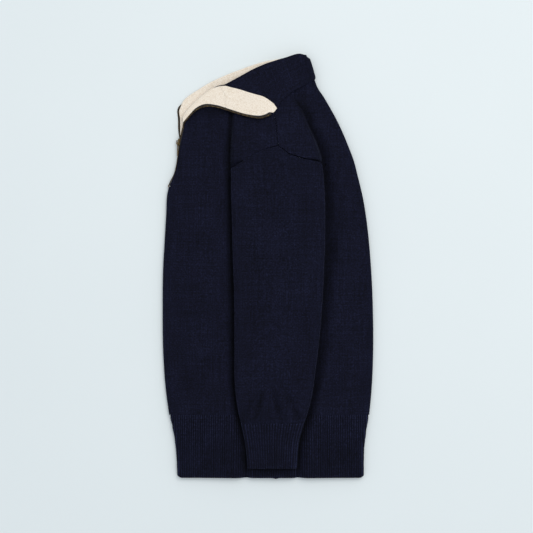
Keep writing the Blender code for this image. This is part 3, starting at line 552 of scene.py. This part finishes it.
def hemPart(name, node, side, edgeColumn):
    form = hemRib
    steps, rowShare = edgeSteps(form["rows"], form["top"] - form["end"], wall)
    rowShare[-3:] = 1.0
    y = form["end"] + steps * (form["top"] - form["end"])
    edges = np.array(form["edges"])
    foldX = softCurve(edges[:, 0], edges[:, edgeColumn], y)
    seam = np.column_stack([np.full_like(y, sideSeamX + side * seamGap), y])
    fold = np.column_stack([foldX, y])
    width = 180.0 if side < 0 else 156.0
    across, columnShare = edgeSteps(int(width / form["pitch"] * form["perPitch"]), width, wall)
    across = across[:-3]
    closed = np.zeros(len(y), bool)
    points, uv = wrappedSheet(seam, fold, np.ones_like(y), closed, np.zeros_like(y), across, across, side)
    ribs = np.abs(uv[..., 0] - uv[..., :1, 0])
    # Near its top the rib draws the cloth in a little
    drawn = -0.3 * np.exp(-((y - form["top"]) / 9.0) ** 2)[:, None]
    nearCount = len(across)
    column = np.arange(points.shape[1])
    facingUp = np.where(column < nearCount + len(turnAngles), 1.0, 0.25)
    count = np.round(ribs.max() / form["pitch"]) * form["pitch"] / ribs.max()
    fade = smooth((form["top"] - y) / 3.0)[:, None]
    relief = ribProfile(ribs * count, form["pitch"]) * form["height"] * facingUp * fade
    relief = relief + drawn * (column < nearCount)
    share = np.ones(points.shape[1])
    share[:nearCount] = columnShare[:-3]
    uv[..., 0] = ribs * count
    points = raised(points, -side * relief)
    # Corners of the lower edge are rounded; the side seam hangs a little lower
    low = np.exp(-((y - form["end"]) / 9.0) ** 2)[:, None]
    toFold = np.clip(1 - np.abs(points[..., 0] - (fold[:, :1] - side * 1.2)) / 8.0, 0, 1)
    points[..., 1] += low * (3.6 * toFold ** 2 - 1.5 * np.exp(-((points[..., 0] - sideSeamX) / 3.5) ** 2))
    share = np.minimum(rowShare[:, None], share[None])
    # The shade here is painted shade beside the cuff and painted shadow under its end
    return sheet(name, node, points, uv, ribKnit, share, thick=ribWall,
                 shade=paintedShadeMap(points[..., 0], points[..., 1]))


frontHem = hemPart("frontHemRib", "front_hem_rib", -1, 1)
backHem = hemPart("backHemRib", "back_hem_rib", 1, 2)
print("hem ribs knitted")


# sleeves and cuffs

def tubePoints(yEdge, loft, inset, near, topShares, lowShares, joined=True, extra=0.0):
    # Rings of a sleeve: upper wall, half turn at the right edge, lower wall, half turn at the left edge. They
    # stay level up to leanFrom and lean over from there until the last one follows the armhole
    form = sleeveForm
    left = softCurve(*zip(*bodyForm["leftCrease"]), yEdge)[:, None] + inset
    right = softCurve(*zip(*bodyForm["rightCrease"]), yEdge)[:, None] - inset
    reach = loft / 2
    climb = np.clip((yEdge - form["leanFrom"]) / (form["top"] - form["leanFrom"]), 0, 1)[:, None]

    def layer(shares, onHead):
        x = left + reach + shares[None] * (right - left - 2 * reach)
        crossed = (x - left) / (right - left) * (right - left + 2 * inset - 6)
        seamX = np.clip(left - inset + 3 + crossed, -60, 92)
        seam = np.interp(seamX, *zip(*form["head" if onHead else "underarm"]))
        seam = seam - form["headGap" if onHead else "underarmGap"]
        return x, yEdge[:, None] + climb * (seam - (form["top"] - 1.0 + 3.0 * shares[None]))

    topX, topY = layer(topShares, near)
    lowX, lowY = layer(lowShares, not near)
    if near:
        lowZ = nearHeight(lowX, lowY, 1.0) + form["step"] + extra
        # The upper wall arches between its edges and carries the folds
        arch = form["puff"] * np.sin(np.pi * topShares)[None] ** 0.7
        topZ = nearHeight(topX, topY, 1.0) + form["step"] + extra + loft + arch
        fade = smooth(np.minimum(topShares, 1 - topShares) / 0.06)[None]
        # Cloth blouses over the cuff; the cuff itself isn't joined and has none of it
        blouse = 1.7 * joined * np.exp(-((topY + 258.0) / 20.0) ** 2)
        blouse = blouse * smooth((topY - form["cuffTop"]) / 12.0)
        topZ = topZ + (folds(sleeveFolds, topX, topY) + ripple(topX + 40, topY) + blouse) * fade
        if joined:
            blend = smooth((yEdge - 150.0) / 26.0)[:, None]
            topZ = topZ + blend * (nearHeight(topX, topY + 1.0, 0.0) - topZ)
    else:
        lowZ = np.full_like(lowX, bodyForm["ground"])
        topZ = np.full_like(topX, bodyForm["ground"]) + loft
    top = np.dstack([topX, topY, topZ])
    low = np.dstack([lowX, lowY, lowZ])[:, ::-1]

    def halfTurn(start, end, out):
        share = ((1 - np.cos(turnAngles)) / 2)[None, :, None]
        points = start[:, None] + share * (end - start)[:, None]
        points[..., 0] += out * np.sin(turnAngles)[None]
        return points

    return np.concatenate([top, halfTurn(top[:, -1], low[:, 0], reach), low,
                           halfTurn(low[:, -1], top[:, 0], -reach)], axis=1)


def ringUv(points, topCount):
    # u is the way round each ring from the middle of its upper wall, v the way along
    closed = np.concatenate([points, points[:, :1]], axis=1)
    steps = np.linalg.norm(np.diff(closed[..., [0, 2]], axis=1), axis=-1)
    u = np.concatenate([np.zeros((len(points), 1)), np.cumsum(steps, axis=1)], axis=1)
    u = u - u[:, topCount // 2][:, None]
    return np.dstack([u, closed[..., 1]])


def sleevePiece(name, node, near, rowCount, topCount, lowCount):
    form = sleeveForm
    steps, share = edgeSteps(rowCount, 452.0, wall)
    share[:3] = 1.0
    yEdge = form["cuffTop"] + steps * (form["top"] - form["cuffTop"])
    loft, inset = (form["loft"], form["inset"]) if near else (form["farLoft"], form["farInset"])
    points = tubePoints(yEdge, loft, inset, near, np.linspace(0, 1, topCount), np.linspace(0, 1, lowCount))
    # Painted shade: the hollows of the sleeve's folds are stored darker for the colour
    paintedShade = 0.15 * np.clip(-folds(sleeveFolds, points[..., 0], points[..., 1]), 0, 4)
    uv = ringUv(points, topCount)
    return sheet(name, node, points, uv, jersey, share[:, None], around=True, shade=paintedShade)


def cuffPiece(name, node, near, topCount, lowCount):
    form = sleeveForm
    steps, share = edgeSteps(24, 82.0, wall)
    share[-3:] = 1.0
    yEdge = form["cuffEnd"] + steps * (form["cuffTop"] - seamGap / 2 - form["cuffEnd"])
    inset = form["inset"] if near else form["farInset"]
    # The cuff starts as high as the sleeve and draws in below
    drawnIn = smooth((form["cuffTop"] - yEdge) / 14.0)[:, None]
    loft = form["loft"] + (form["cuffLoft"] - form["loft"]) * drawnIn if near else form["farLoft"]
    points = tubePoints(yEdge, loft, inset, near, np.linspace(0, 1, topCount), np.linspace(0, 1, lowCount),
                        False, 2.0 * drawnIn)
    uv = ringUv(points, topCount)
    pitch = hemRib["pitch"]
    fade = smooth((form["cuffTop"] - yEdge) / 3.0)[:, None]
    ribs = uv[:, :-1, 0] * (uv[:1, -1:, 0] - uv[:1, :1, 0]) / (uv[:, -1:, 0] - uv[:, :1, 0])
    outer = np.arange(points.shape[1]) < topCount + len(turnAngles)
    relief = ribProfile(ribs, pitch) * hemRib["height"] * fade * np.where(outer, 1.0, 0.3)[None]
    uv[:, :-1, 0] = ribs
    uv[:, -1, 0] = ribs[:, 0] + uv[0, -1, 0] - uv[0, 0, 0]
    # Near its top the rib draws the cloth in a little
    tuck = -0.2 * np.exp(-((yEdge - form["cuffTop"]) / 8.0) ** 2)[:, None] * outer[None]
    points = raised(points, -(relief + tuck))
    return sheet(name, node, points, uv, ribKnit, share[:, None], thick=ribWall, around=True)


nearSleeve = sleevePiece("nearSleeveKnit", "sleeve_left", True, 180, 84, 46)
farSleeve = sleevePiece("farSleeveKnit", "sleeve_right", False, 70, 30, 30)
nearCuff = cuffPiece("nearCuffRib", "cuff_left", True, 150, 60)
farCuff = cuffPiece("farCuffRib", "cuff_right", False, 90, 40)
print("sleeves and cuffs laid")


# collar, its cream inside and the lapel's facing

collarForm = {
    "turnStep": 3.4,          # from the collar stand to the part turned down on it
    "farTurnRow": 8,          # the far half turns under from this row on
    # neck seam, near turning fold, near free edge, far fold, far neck seam, each x, y; zip end to centre back
    "rows": [
        (-142.3, 258.6, -146.5, 263.0, -142.4, 257.6, -154.6, 241.5, -149.9, 244.0),
        (-134.5, 267.6, -139.5, 273.5, -134.3, 266.8, -155.0, 262.0, -146.6, 260.0),
        (-124.0, 277.0, -128.4, 284.9, -123.5, 276.2, -155.8, 279.0, -134.8, 273.0),
        (-106.6, 285.8, -115.3, 296.8, -106.6, 281.9, -141.6, 296.5, -106.6, 285.8),
        (-85.6, 285.8, -100.4, 308.2, -85.6, 279.3, -122.3, 309.4, -85.6, 285.8),
        (-62.8, 284.6, -86.1, 316.2, -61.1, 271.4, -103.1, 321.0, -62.8, 284.6),
        (-40.1, 283.2, -75.1, 318.2, -34.8, 263.9, -83.8, 330.6, -40.1, 283.2),
        (-19.1, 281.9, -60.2, 325.9, -10.3, 261.1, -64.6, 338.8, -19.1, 281.9),
        (-1.6, 281.1, -45.3, 333.9, 6.3, 267.4, -45.3, 345.8, -1.6, 281.1),
        (9.4, 281.9, -26.1, 344.4, 16.5, 279.3, -26.1, 352.6, 9.4, 281.9),
        (15.0, 298.6, -6.8, 353.2, 22.9, 290.2, -6.8, 358.6, 15.0, 298.6),
        (31.3, 306.6, 12.4, 359.8, 34.3, 302.1, 12.4, 362.4, 31.3, 306.6),
        (47.2, 315.8, 31.7, 365.6, 49.2, 311.5, 31.7, 365.9, 47.2, 315.8),
        (63.3, 325.1, 52.4, 372.0, 66.7, 321.3, 52.4, 372.0, 63.3, 325.1),
        (75.0, 333.4, 65.4, 370.4, 80.0, 328.0, 65.4, 370.4, 75.0, 333.4),
    ],
}
skinStep = wall / 2 + 0.35 + thinWall / 2


def collarAt(t):
    # Below 0 the first two rows are run on in a straight line
    rows = np.array(collarForm["rows"])
    return softCurve(np.arange(15), rows, t) + np.minimum(t, 0)[:, None] * (rows[1] - rows[0])


def envelope(x, y):
    # Highest of the near layer round about, which what lies on it has to clear
    around = ((0, 0), (8, 0), (-8, 0), (16, 0), (-16, 0), (0, 8), (0, -8))
    return np.max([nearHeight(x + dx, y + dy, 0.0) for dx, dy in around], axis=0)


def turnedDown(t, shares):
    # Points of the turned-down part, share 0 at the fold and 1 at the free edge
    rows = collarAt(t)
    stand = nearHeight(rows[:, 0], rows[:, 1], 0.0)
    plan = between(rows[:, 2:4], rows[:, 4:6], shares)
    z = np.maximum(stand[:, None], envelope(plan[..., 0], plan[..., 1])) + collarForm["turnStep"]
    # It swells between the fold and the free edge and dips to the edge
    width = np.linalg.norm(rows[:, 4:6] - rows[:, 2:4], axis=1)[:, None]
    z = z + 0.022 * width * np.sin(np.pi * np.clip(shares, 0, 1) ** 0.8)
    z = z + 0.35 * np.sin(plan[..., 0] / 11.0 + plan[..., 1] / 19.0) * np.clip(width / 40, 0, 1)
    return np.dstack([plan, z])


def foldOver(at, other, top, bottom, reach):
    # Half turn at a fold that faces away from other: out by reach sin(a), height by cos(a)
    away = unit(at - other)
    plan = at[:, None] + away[:, None] * (np.reshape(reach, (-1, 1)) * np.sin(turnAngles)[None])[..., None]
    z = (top + bottom)[:, None] / 2 + (top - bottom)[:, None] / 2 * np.cos(turnAngles)[None]
    return np.dstack([plan, z])


def farLines(rows, t):
    # Far fold and neck seam; at the lower end the fold draws back behind the zip
    fold, neck = rows[:, 6:8], rows[:, 8:10]
    return fold + unit(neck - fold) * (1.9 * (1 - smooth((t - 2.1) / 0.9)))[:, None], neck


def farStandHeight(t):
    # The far half stands a little higher where its fall lies under it
    return bodyForm["ground"] + 1.9 + 1.2 * smooth(t - 7.0)


def arcUv(points):
    # u is the way along the rows, measured at the middle column, v the way across each row
    middleColumn = points[:, points.shape[1] // 2]
    along = alongPath(middleColumn)
    across = np.cumsum(np.linalg.norm(np.diff(points, axis=1, prepend=points[:, :1]), axis=2), axis=1)
    return np.dstack([np.broadcast_to(along[:, None], across.shape), across])


def buildCollar():
    # Near half from its free edge over the fold to the neck seam, the roll at centre back, then the far half
    form = collarForm
    t = np.linspace(0, 14, 170)
    rows = collarAt(t)
    turned, turnedShare = edgeSteps(22, 55.0, wall)
    turned, turnedShare = turned[3:], turnedShare[3:]
    standShares = np.linspace(0.02, 1.0, 12)
    neck, fold = rows[:, 0:2], rows[:, 2:4]
    farFold, farNeck = farLines(rows, t)
    stand = nearHeight(neck[:, 0], neck[:, 1], 0.0)
    down = turnedDown(t, np.broadcast_to(turned, (len(t), len(turned))))[:, ::-1]
    bend = foldOver(fold, rows[:, 4:6], down[:, -1, 2], stand, 1.9)
    plan = between(fold, neck, standShares)
    upright = np.dstack([plan, np.broadcast_to(stand[:, None], plan.shape[:2])])
    near = np.concatenate([down, bend, upright], axis=1)
    farStand = farStandHeight(t)
    plan = between(farFold, farNeck, 0.5 * turned[::-1])
    farDown = np.dstack([plan, np.full(plan.shape[:2], bodyForm["ground"])])
    bend = foldOver(farFold, farNeck, farDown[:, -1, 2], farStand, 0.2 + 1.0 * smooth((t - 2.1) / 0.7))
    plan = between(farFold, farNeck, standShares)
    sink = smooth((standShares - 0.62) / 0.38)[None]
    z = farStand[:, None] + (bodyForm["ground"] - farStand)[:, None] * sink
    far = np.concatenate([farDown, bend, np.dstack([plan, z])], axis=1)[::-1]
    # Centre back: the near half rolls over into the far half
    angles = np.radians(np.linspace(0, 180, 12)[1:-1])
    start, end = near[-1], far[0]
    roll = start[None] + ((1 - np.cos(angles)) / 2)[:, None, None] * (end - start)[None]
    fromFold = np.linalg.norm(start[:, :2] - fold[-1], axis=1)
    # Near the fold it reaches out less, which rounds the corner
    reach = (0.3 + 0.7 * smooth(fromFold / 7.0)) * np.abs(start[:, 2] - end[:, 2]) / 2
    roll[..., 0] += np.sin(angles)[:, None] * reach[None]
    points = np.concatenate([near, roll, far])
    cutRow = len(near) + len(roll) + int((14 - form["farTurnRow"]) / 14 * len(t))
    downCount = len(turned)
    share = np.ones(points.shape[1])
    share[:downCount] = turnedShare[::-1]

    def keep(row, column):
        return ~((row >= cutRow) & (column < downCount + len(turnAngles)))

    return sheet("collarKnit", "collar", points, arcUv(points), jersey, share[None], keep=keep)


def buildLining():
    # Lies inside the far stand, a skinStep over it
    t = np.linspace(-0.45, 14, 130)
    rows = collarAt(t)
    steps, share = edgeSteps(16, 40.0, thinWall)
    rolled = smooth((t - 2.1) / 0.7)[:, None]
    shares = 0.93 * steps[None]
    farFold, farNeck = farLines(rows, t)
    plan = between(farFold, farNeck, shares)
    farStand = farStandHeight(t)[:, None]
    z = farStand + (bodyForm["ground"] - farStand) * smooth((shares - 0.8) / 0.3) + skinStep
    z = z + 0.12 * np.sin(plan[..., 0] / 6.0 + plan[..., 1] / 13.0)
    points = np.dstack([plan, z])
    # It rolls over the far fold and ends just under it
    around = np.radians(np.linspace(150, 0, 9))[None, :, None]
    away = unit(rows[:, 6:8] - rows[:, 8:10])[:, None]
    drop = (points[:, :1, 2:] - 0.7) / 2 * (0.4 + 0.6 * rolled[..., None])
    reach = away * (0.5 + 2.6 * rolled[..., None]) * np.sin(around)
    low = points[:, :1, 2:] - drop * (1 - np.cos(around))
    roll = np.concatenate([points[:, :1, :2] + reach, low], axis=2)
    points = np.concatenate([roll, points[:, 1:]], axis=1)
    share = np.concatenate([[0.15, 0.6], np.ones(7), share[1:]])
    return sheet("neckLining", "neck_lining", points, arcUv(points), creamKnit, share[None], thick=thinWall)


facingForm = {
    "zipWidth": 5.2,          # bare strip along the free edge, for the tape
    "lift": 0.55,
    # row of the collar, where the facing's upper edge lies between fold and free edge
    "start": [(0, 0.0), (5.6, 0.0), (6, 0.01), (6.5, 0.12), (7, 0.23), (7.5, 0.352), (8, 0.474), (8.5, 0.629),
              (9, 0.93)],
}


def buildFacing():
    # The turned-down part once more, a skinStep higher and between the facing's own two edges
    form = facingForm
    t = np.concatenate([np.linspace(-0.6, 8, 130), np.linspace(8, 8.93, 16)[1:]])
    rows = collarAt(t)
    width = np.linalg.norm(rows[:, 4:6] - rows[:, 2:4], axis=1)
    steps, share = edgeSteps(22, 35.0, thinWall)
    tip = smooth((t - 7.9) / 0.5)
    start = softCurve(*zip(*form["start"]), t)
    band = 2.6 + (form["zipWidth"] + 0.1 * t - 2.6) * smooth((t - 0.6) / 2.6)
    end = (1 - band / width) * (1 - tip) + 0.995 * tip
    end = np.maximum(end, start + 0.04)
    # The lower end tapers away beside the zip
    start = end - (end - start) * (0.12 + 0.88 * smooth((t + 0.6) / 0.6))
    shares = start[:, None] + steps[None] * (end - start)[:, None]
    points = turnedDown(t, shares)
    points[..., 2] += skinStep + form["lift"]
    # Up to where the navy fall starts it rolls over the fold and down inside the neck
    angles = np.radians(np.linspace(118, 0, 9))
    rolled = ((1 - smooth((t - 3.6) / 1.5)) * smooth((t + 0.5) / 0.5))[:, None]
    away = unit(rows[:, 2:4] - rows[:, 4:6])
    reach = rolled * 3.4 * np.sin(angles)[None]
    drop = rolled * 4.4 * (1 - np.cos(angles))[None]
    roll = np.dstack([points[:, :1, :2] + away[:, None] * reach[..., None], points[:, :1, 2] - drop])
    roll[..., :2] -= away[:, None] * ((1 - rolled) * 0.02 * np.arange(9)[None, ::-1])[..., None]
    points = np.concatenate([roll[:, :-1], points], axis=1)
    share = np.concatenate([[0.15, 0.6], np.ones(6), np.where(np.arange(len(share)) < 3, 1.0, share)])
    uv = arcUv(points)
    return sheet("lapelFacing", "zip_facing", points, uv, creamKnit, share[None], thick=thinWall), points


collarKnit = buildCollar()
neckLining = buildLining()
lapelFacing, facingPoints = buildFacing()
print("collar turned down and faced")


# zip

zipForm = {
    # y, x of the folded edge
    "edge": [(138.0, -175.6), (150.0, -172.0), (165.0, -164.6), (186.6, -159.6), (204.1, -157.3),
             (226.0, -154.0)],
    "stopY": 145.0, "sliderY": 220.5, "toothPitch": 2.2, "band": 5.6,
}


def edgeX(y):
    # The folded front edge at the zip
    return softCurve(*zip(*zipForm["edge"]), y)


def lapelEdge(t):
    # The near half's open edge and the direction across it towards the fold
    edge = collarAt(t)[:, 4:6]
    run = np.gradient(edge, axis=0)
    return edge, unit(np.column_stack([-run[:, 1], run[:, 0]]))


def tapeLines(near):
    # Inner and outer edge of a tape from the bottom stop up; the closed part comes first
    closedY = np.array([zipForm["stopY"], 160.0, 186.6, 204.1, 214.9])
    heights = (5.75, 4.95) if near else (2.95, 3.5)
    inner = [(float(edgeX(y)) + 2.6, y, heights[0]) for y in closedY]
    outer = [(float(edgeX(y)) + 0.9, y, heights[1]) for y in closedY]
    if near:
        inner += [(-152.0, 222.5, 9.6), (-148.8, 237.0, 9.7), (-146.8, 246.6, 9.9), (-146.4, 252.4, 10.2)]
        outer += [(-154.9, 221.5, 7.9), (-152.2, 236.0, 9.7), (-149.6, 245.6, 10.0), (-147.2, 252.0, 12.4)]
        t = np.arange(9.0)
        edge, inward = lapelEdge(t)
        width = (2.4 + (zipForm["band"] - 2.9) * smooth((t - 0.6) / 2.6))[:, None]
        z = turnedDown(t, np.tile([0.6, 1.0], (9, 1)))[..., 2].max(axis=1) + skinStep
        inner = np.vstack([inner, np.column_stack([edge + inward * width, z])])
        outer = np.vstack([outer, np.column_stack([edge, z])])
    else:
        t = np.arange(8.0)
        rows = collarAt(t)
        inward = unit(np.where(t[:, None] < 2, np.array([1.0, 0.0]), rows[:, 8:10] - rows[:, 6:8]))
        first = rows[:, 6:8] + inward * np.where(t < 3, 2.0, 6.0)[:, None]
        flat = np.full(8, 0.6)
        inner = np.vstack([inner, [(-150.6, 228.0, 0.8)], np.column_stack([first, flat])])
        outer = np.vstack([outer, [(-155.4, 228.0, 1.6)], np.column_stack([first - inward * 4.8, flat])])
    return np.array(inner, float), np.array(outer, float)


def buildTape(name, node, near):
    # A flat strip between the two lines
    inner, outer = tapeLines(near)
    length = alongPath(outer)
    at = np.linspace(0, length[-1], 220)
    first, second = softCurve(length, inner, at), softCurve(length, outer, at)
    steps, share = edgeSteps(7, 4.0, thinWall)
    points = between(first, second, steps)
    return sheet(name, node, points, arcUv(points)[..., ::-1], tapeCloth, share[None], thick=thinWall)


nearTape = buildTape("nearZipTape", "zip_tape_left", True)
farTape = buildTape("farZipTape", "zip_tape_right", False)


def strung(name, profile, places, run, out, material, sides=8):
    # Copies of one small lofted shape along a path; a profile row is the place along out, the half width on
    # run and the half thickness
    profile = np.array(profile, float)
    angle = np.linspace(0, 2 * np.pi, sides, endpoint=False) + np.pi / sides
    ring = np.column_stack([np.cos(angle), np.sin(angle)])
    ring = np.sign(ring) * np.abs(ring) ** 0.6
    local = np.stack([
        (profile[:, 1][:, None] * ring[None, :, 0]).ravel(),
        np.repeat(profile[:, 0], sides),
        (profile[:, 2][:, None] * ring[None, :, 1]).ravel(),
    ], axis=1)
    run, out = unit(run), unit(out)
    thick = unit(np.cross(run, out))
    axes = np.stack([run, unit(np.cross(thick, run)), thick], axis=1)
    points = places[:, None] + np.einsum("vk,pkc->pvc", local, axes)
    count = len(local)
    ringCount = len(profile)
    level, side = np.meshgrid(np.arange(ringCount - 1), np.arange(sides), indexing="ij")
    quads = quadsOf(level, side, (side + 1) % sides, sides)
    first = (np.arange(len(places)) * count)[:, None]
    faces = (quads[None] + first[..., None]).reshape(-1, 4).tolist()
    bottoms = (np.arange(sides)[::-1][None] + first).tolist()
    tops = ((ringCount - 1) * sides + np.arange(sides)[None] + first).tolist()
    mesh = bpy.data.meshes.new(name)
    mesh.from_pydata(((points.reshape(-1, 3) - middle) * mm).tolist(), [], faces + bottoms + tops)
    mesh.polygons.foreach_set("use_smooth", np.ones(len(mesh.polygons), bool))
    return pieceOf(bpy.data.objects.new(name, mesh), material)


def spaced(points, pitch, offset=0.0):
    # Points at an even pitch along a path, with the fractional index of each
    length = alongPath(points)
    at = np.arange(offset, length[-1], pitch)
    return straightCurve(length, points, at), np.interp(at, length, np.arange(len(points)))


toothShape = [(-1.25, 0.42, 0.62), (-1.1, 0.55, 0.85), (-0.2, 0.55, 0.85), (0.25, 0.72, 0.8),
              (0.95, 0.7, 0.7), (1.2, 0.4, 0.45)]


def openTeeth(name, near):
    # Teeth stand on the tape's outer edge and point away from it
    inner, outer = (line[5:] for line in tapeLines(near))
    length = alongPath(outer)
    at = np.linspace(0, length[-1], 400)
    inner, outer = softCurve(length, inner, at), softCurve(length, outer, at)
    places, index = spaced(outer, zipForm["toothPitch"])
    run = np.gradient(outer, axis=0)
    out = outer - inner
    pick = np.round(index).astype(int)
    places = places - unit(out[pick]) * 1.0 + np.array([0, 0, 0.85 if near else 0.5])
    return strung(name, toothShape, places, run[pick], out[pick], brass)


def closedTeeth():
    # Two rows that mesh at the folded edge, half a pitch apart
    y = np.arange(zipForm["stopY"] + 1.5, zipForm["sliderY"] - 5.0, zipForm["toothPitch"] / 2)
    upper = np.arange(len(y)) % 2 == 0
    places = np.column_stack([edgeX(y) + 0.25, y, np.where(upper, 4.25 + 0.75, 4.25 - 0.75)])
    run = np.tile([0.0, 1.0, 0.0], (len(y), 1))
    out = np.column_stack([np.zeros(len(y)), np.zeros(len(y)), np.where(upper, -1.0, 1.0)])
    return strung("closedZipTeeth", toothShape, places, run, out, brass)


nearTeeth = openTeeth("nearZipTeeth", True)
farTeeth = openTeeth("farZipTeeth", False)
chainTeeth = closedTeeth()
for node in ("zip_slider", "zip_pull", "zip_stop"):
    for slot in bpy.data.objects[node].material_slots:
        slot.link = "OBJECT"
        slot.material = brass
print("zip made")


# seams and stitching

seamForm = {
    "stitch": [(-1.15, 0.05, 0.05), (-0.9, 0.24, 0.17), (0.9, 0.24, 0.17), (1.15, 0.05, 0.05)],
    "link": [(-1.3, 0.1, 0.1), (-0.8, 0.5, 0.34), (0.0, 0.58, 0.42), (0.8, 0.5, 0.34), (1.3, 0.1, 0.1)],
    "stitchPitch": 3.1, "linkPitch": 1.7, "slant": 0.5,
}


def stitchLine(name, path, lift):
    # Sewn stitches lie along the path, end to end with a short gap
    places, index = spaced(path, seamForm["stitchPitch"], 1.0)
    run = np.gradient(path, axis=0)[np.round(index).astype(int)]
    side = np.cross(np.tile([0.0, 0.0, 1.0], (len(run), 1)), run)
    return strung(name, seamForm["stitch"], places + np.array([0, 0, lift]), side, run, creamKnit, 6)


def linkedSeam(name, plan):
    # Linking loops cross the joint of two panels at a slant, on the height of the cloth there
    plan = np.array(plan, float)
    length = alongPath(plan)
    at = np.linspace(0, length[-1], 300)
    path = straightCurve(length, plan, at)
    height = nearHeight(path[:, 0], path[:, 1] + 1.0, 0.0) + wall / 2 - 1.3
    path = np.column_stack([path, height])
    places, index = spaced(path, seamForm["linkPitch"])
    run = unit(np.gradient(path, axis=0)[np.round(index).astype(int)])
    side = np.cross(np.tile([0.0, 0.0, 1.0], (len(run), 1)), run)
    across = side + run * seamForm["slant"]
    return strung(name, seamForm["link"], places, run, across, ribKnit)


facingStitches = stitchLine("facingStitches", facingPoints[6:-14, -7], thinWall / 2 + 0.02)
tipStitches = stitchLine("tipStitches", facingPoints[-60:-8, 13], thinWall / 2 + 0.02)
armholeSeam = linkedSeam("armholeSeam", sleeveForm["head"])
shoulderSeam = linkedSeam("shoulderSeam", [(row[0], row[1]) for row in frontRows[11:]])
print("seams sewn")


# floor, light and camera

stageForm = {"floor": "#dde5e8", "floorShade": "#dae2e5", "reach": 14.0, "drop": 0.0001, "keyPower": 46.0,
             "fill": 0.86}

floorMesh = bpy.data.meshes.new("studioFloor")
floorCorners = [(x * stageForm["reach"], y * stageForm["reach"], -stageForm["drop"])
                for x, y in ((-1, -1), (1, -1), (1, 1), (-1, 1))]
floorMesh.from_pydata(floorCorners, [], [(0, 1, 2, 3)])
floor = bpy.data.objects.new("studioFloor", floorMesh)
bpy.context.scene.collection.objects.link(floor)
paperValues = {"Roughness": 0.85, "Specular IOR Level": 0.2}
floorPaint, floorTree, floorShader = newMaterial("matt studio paper", paperValues)
grain = noise(floorTree, add(floorTree, "ShaderNodeTexCoord").outputs["Object"], 3.0, 4.0)
paper = ramp(floorTree, grain, (0.0, stageForm["floorShade"]), (1.0, stageForm["floor"]))
floorTree.links.new(paper, floorShader.inputs["Base Color"])
floorMesh.materials.append(floorPaint)

world = bpy.data.worlds.new("softRoom")
world.use_nodes = True
world.node_tree.nodes["Background"].inputs["Color"].default_value = linear("#eef2f6")
world.node_tree.nodes["Background"].inputs["Strength"].default_value = stageForm["fill"]
bpy.context.scene.world = world


def softbox(name, place, size, power, tint):
    # An area lamp turned to face the origin
    lamp = bpy.data.lights.new(name, "AREA")
    lamp.shape = "RECTANGLE"
    lamp.size, lamp.size_y = size
    lamp.energy = power
    lamp.color = linear(tint)[:3]
    thing = bpy.data.objects.new(name, lamp)
    thing.location = place
    x, y, z = place
    thing.rotation_euler = (np.arctan2(np.hypot(x, y), z), 0.0, np.arctan2(x, -y))
    bpy.context.scene.collection.objects.link(thing)
    return thing


softbox("topSoftbox", (0.9, 1.2, 2.9), (2.2, 2.2), stageForm["keyPower"], "#fffaf2")

lens = bpy.data.cameras.new("overhead")
lens.lens = 85.0
lens.sensor_width = 36.0
camera = bpy.data.objects.new("overhead", lens)
camera.location = (-0.0024, 0.0002, 2.213)
bpy.context.scene.collection.objects.link(camera)
bpy.context.scene.camera = camera
bpy.context.scene.view_settings.view_transform = "Standard"
print("studio set")
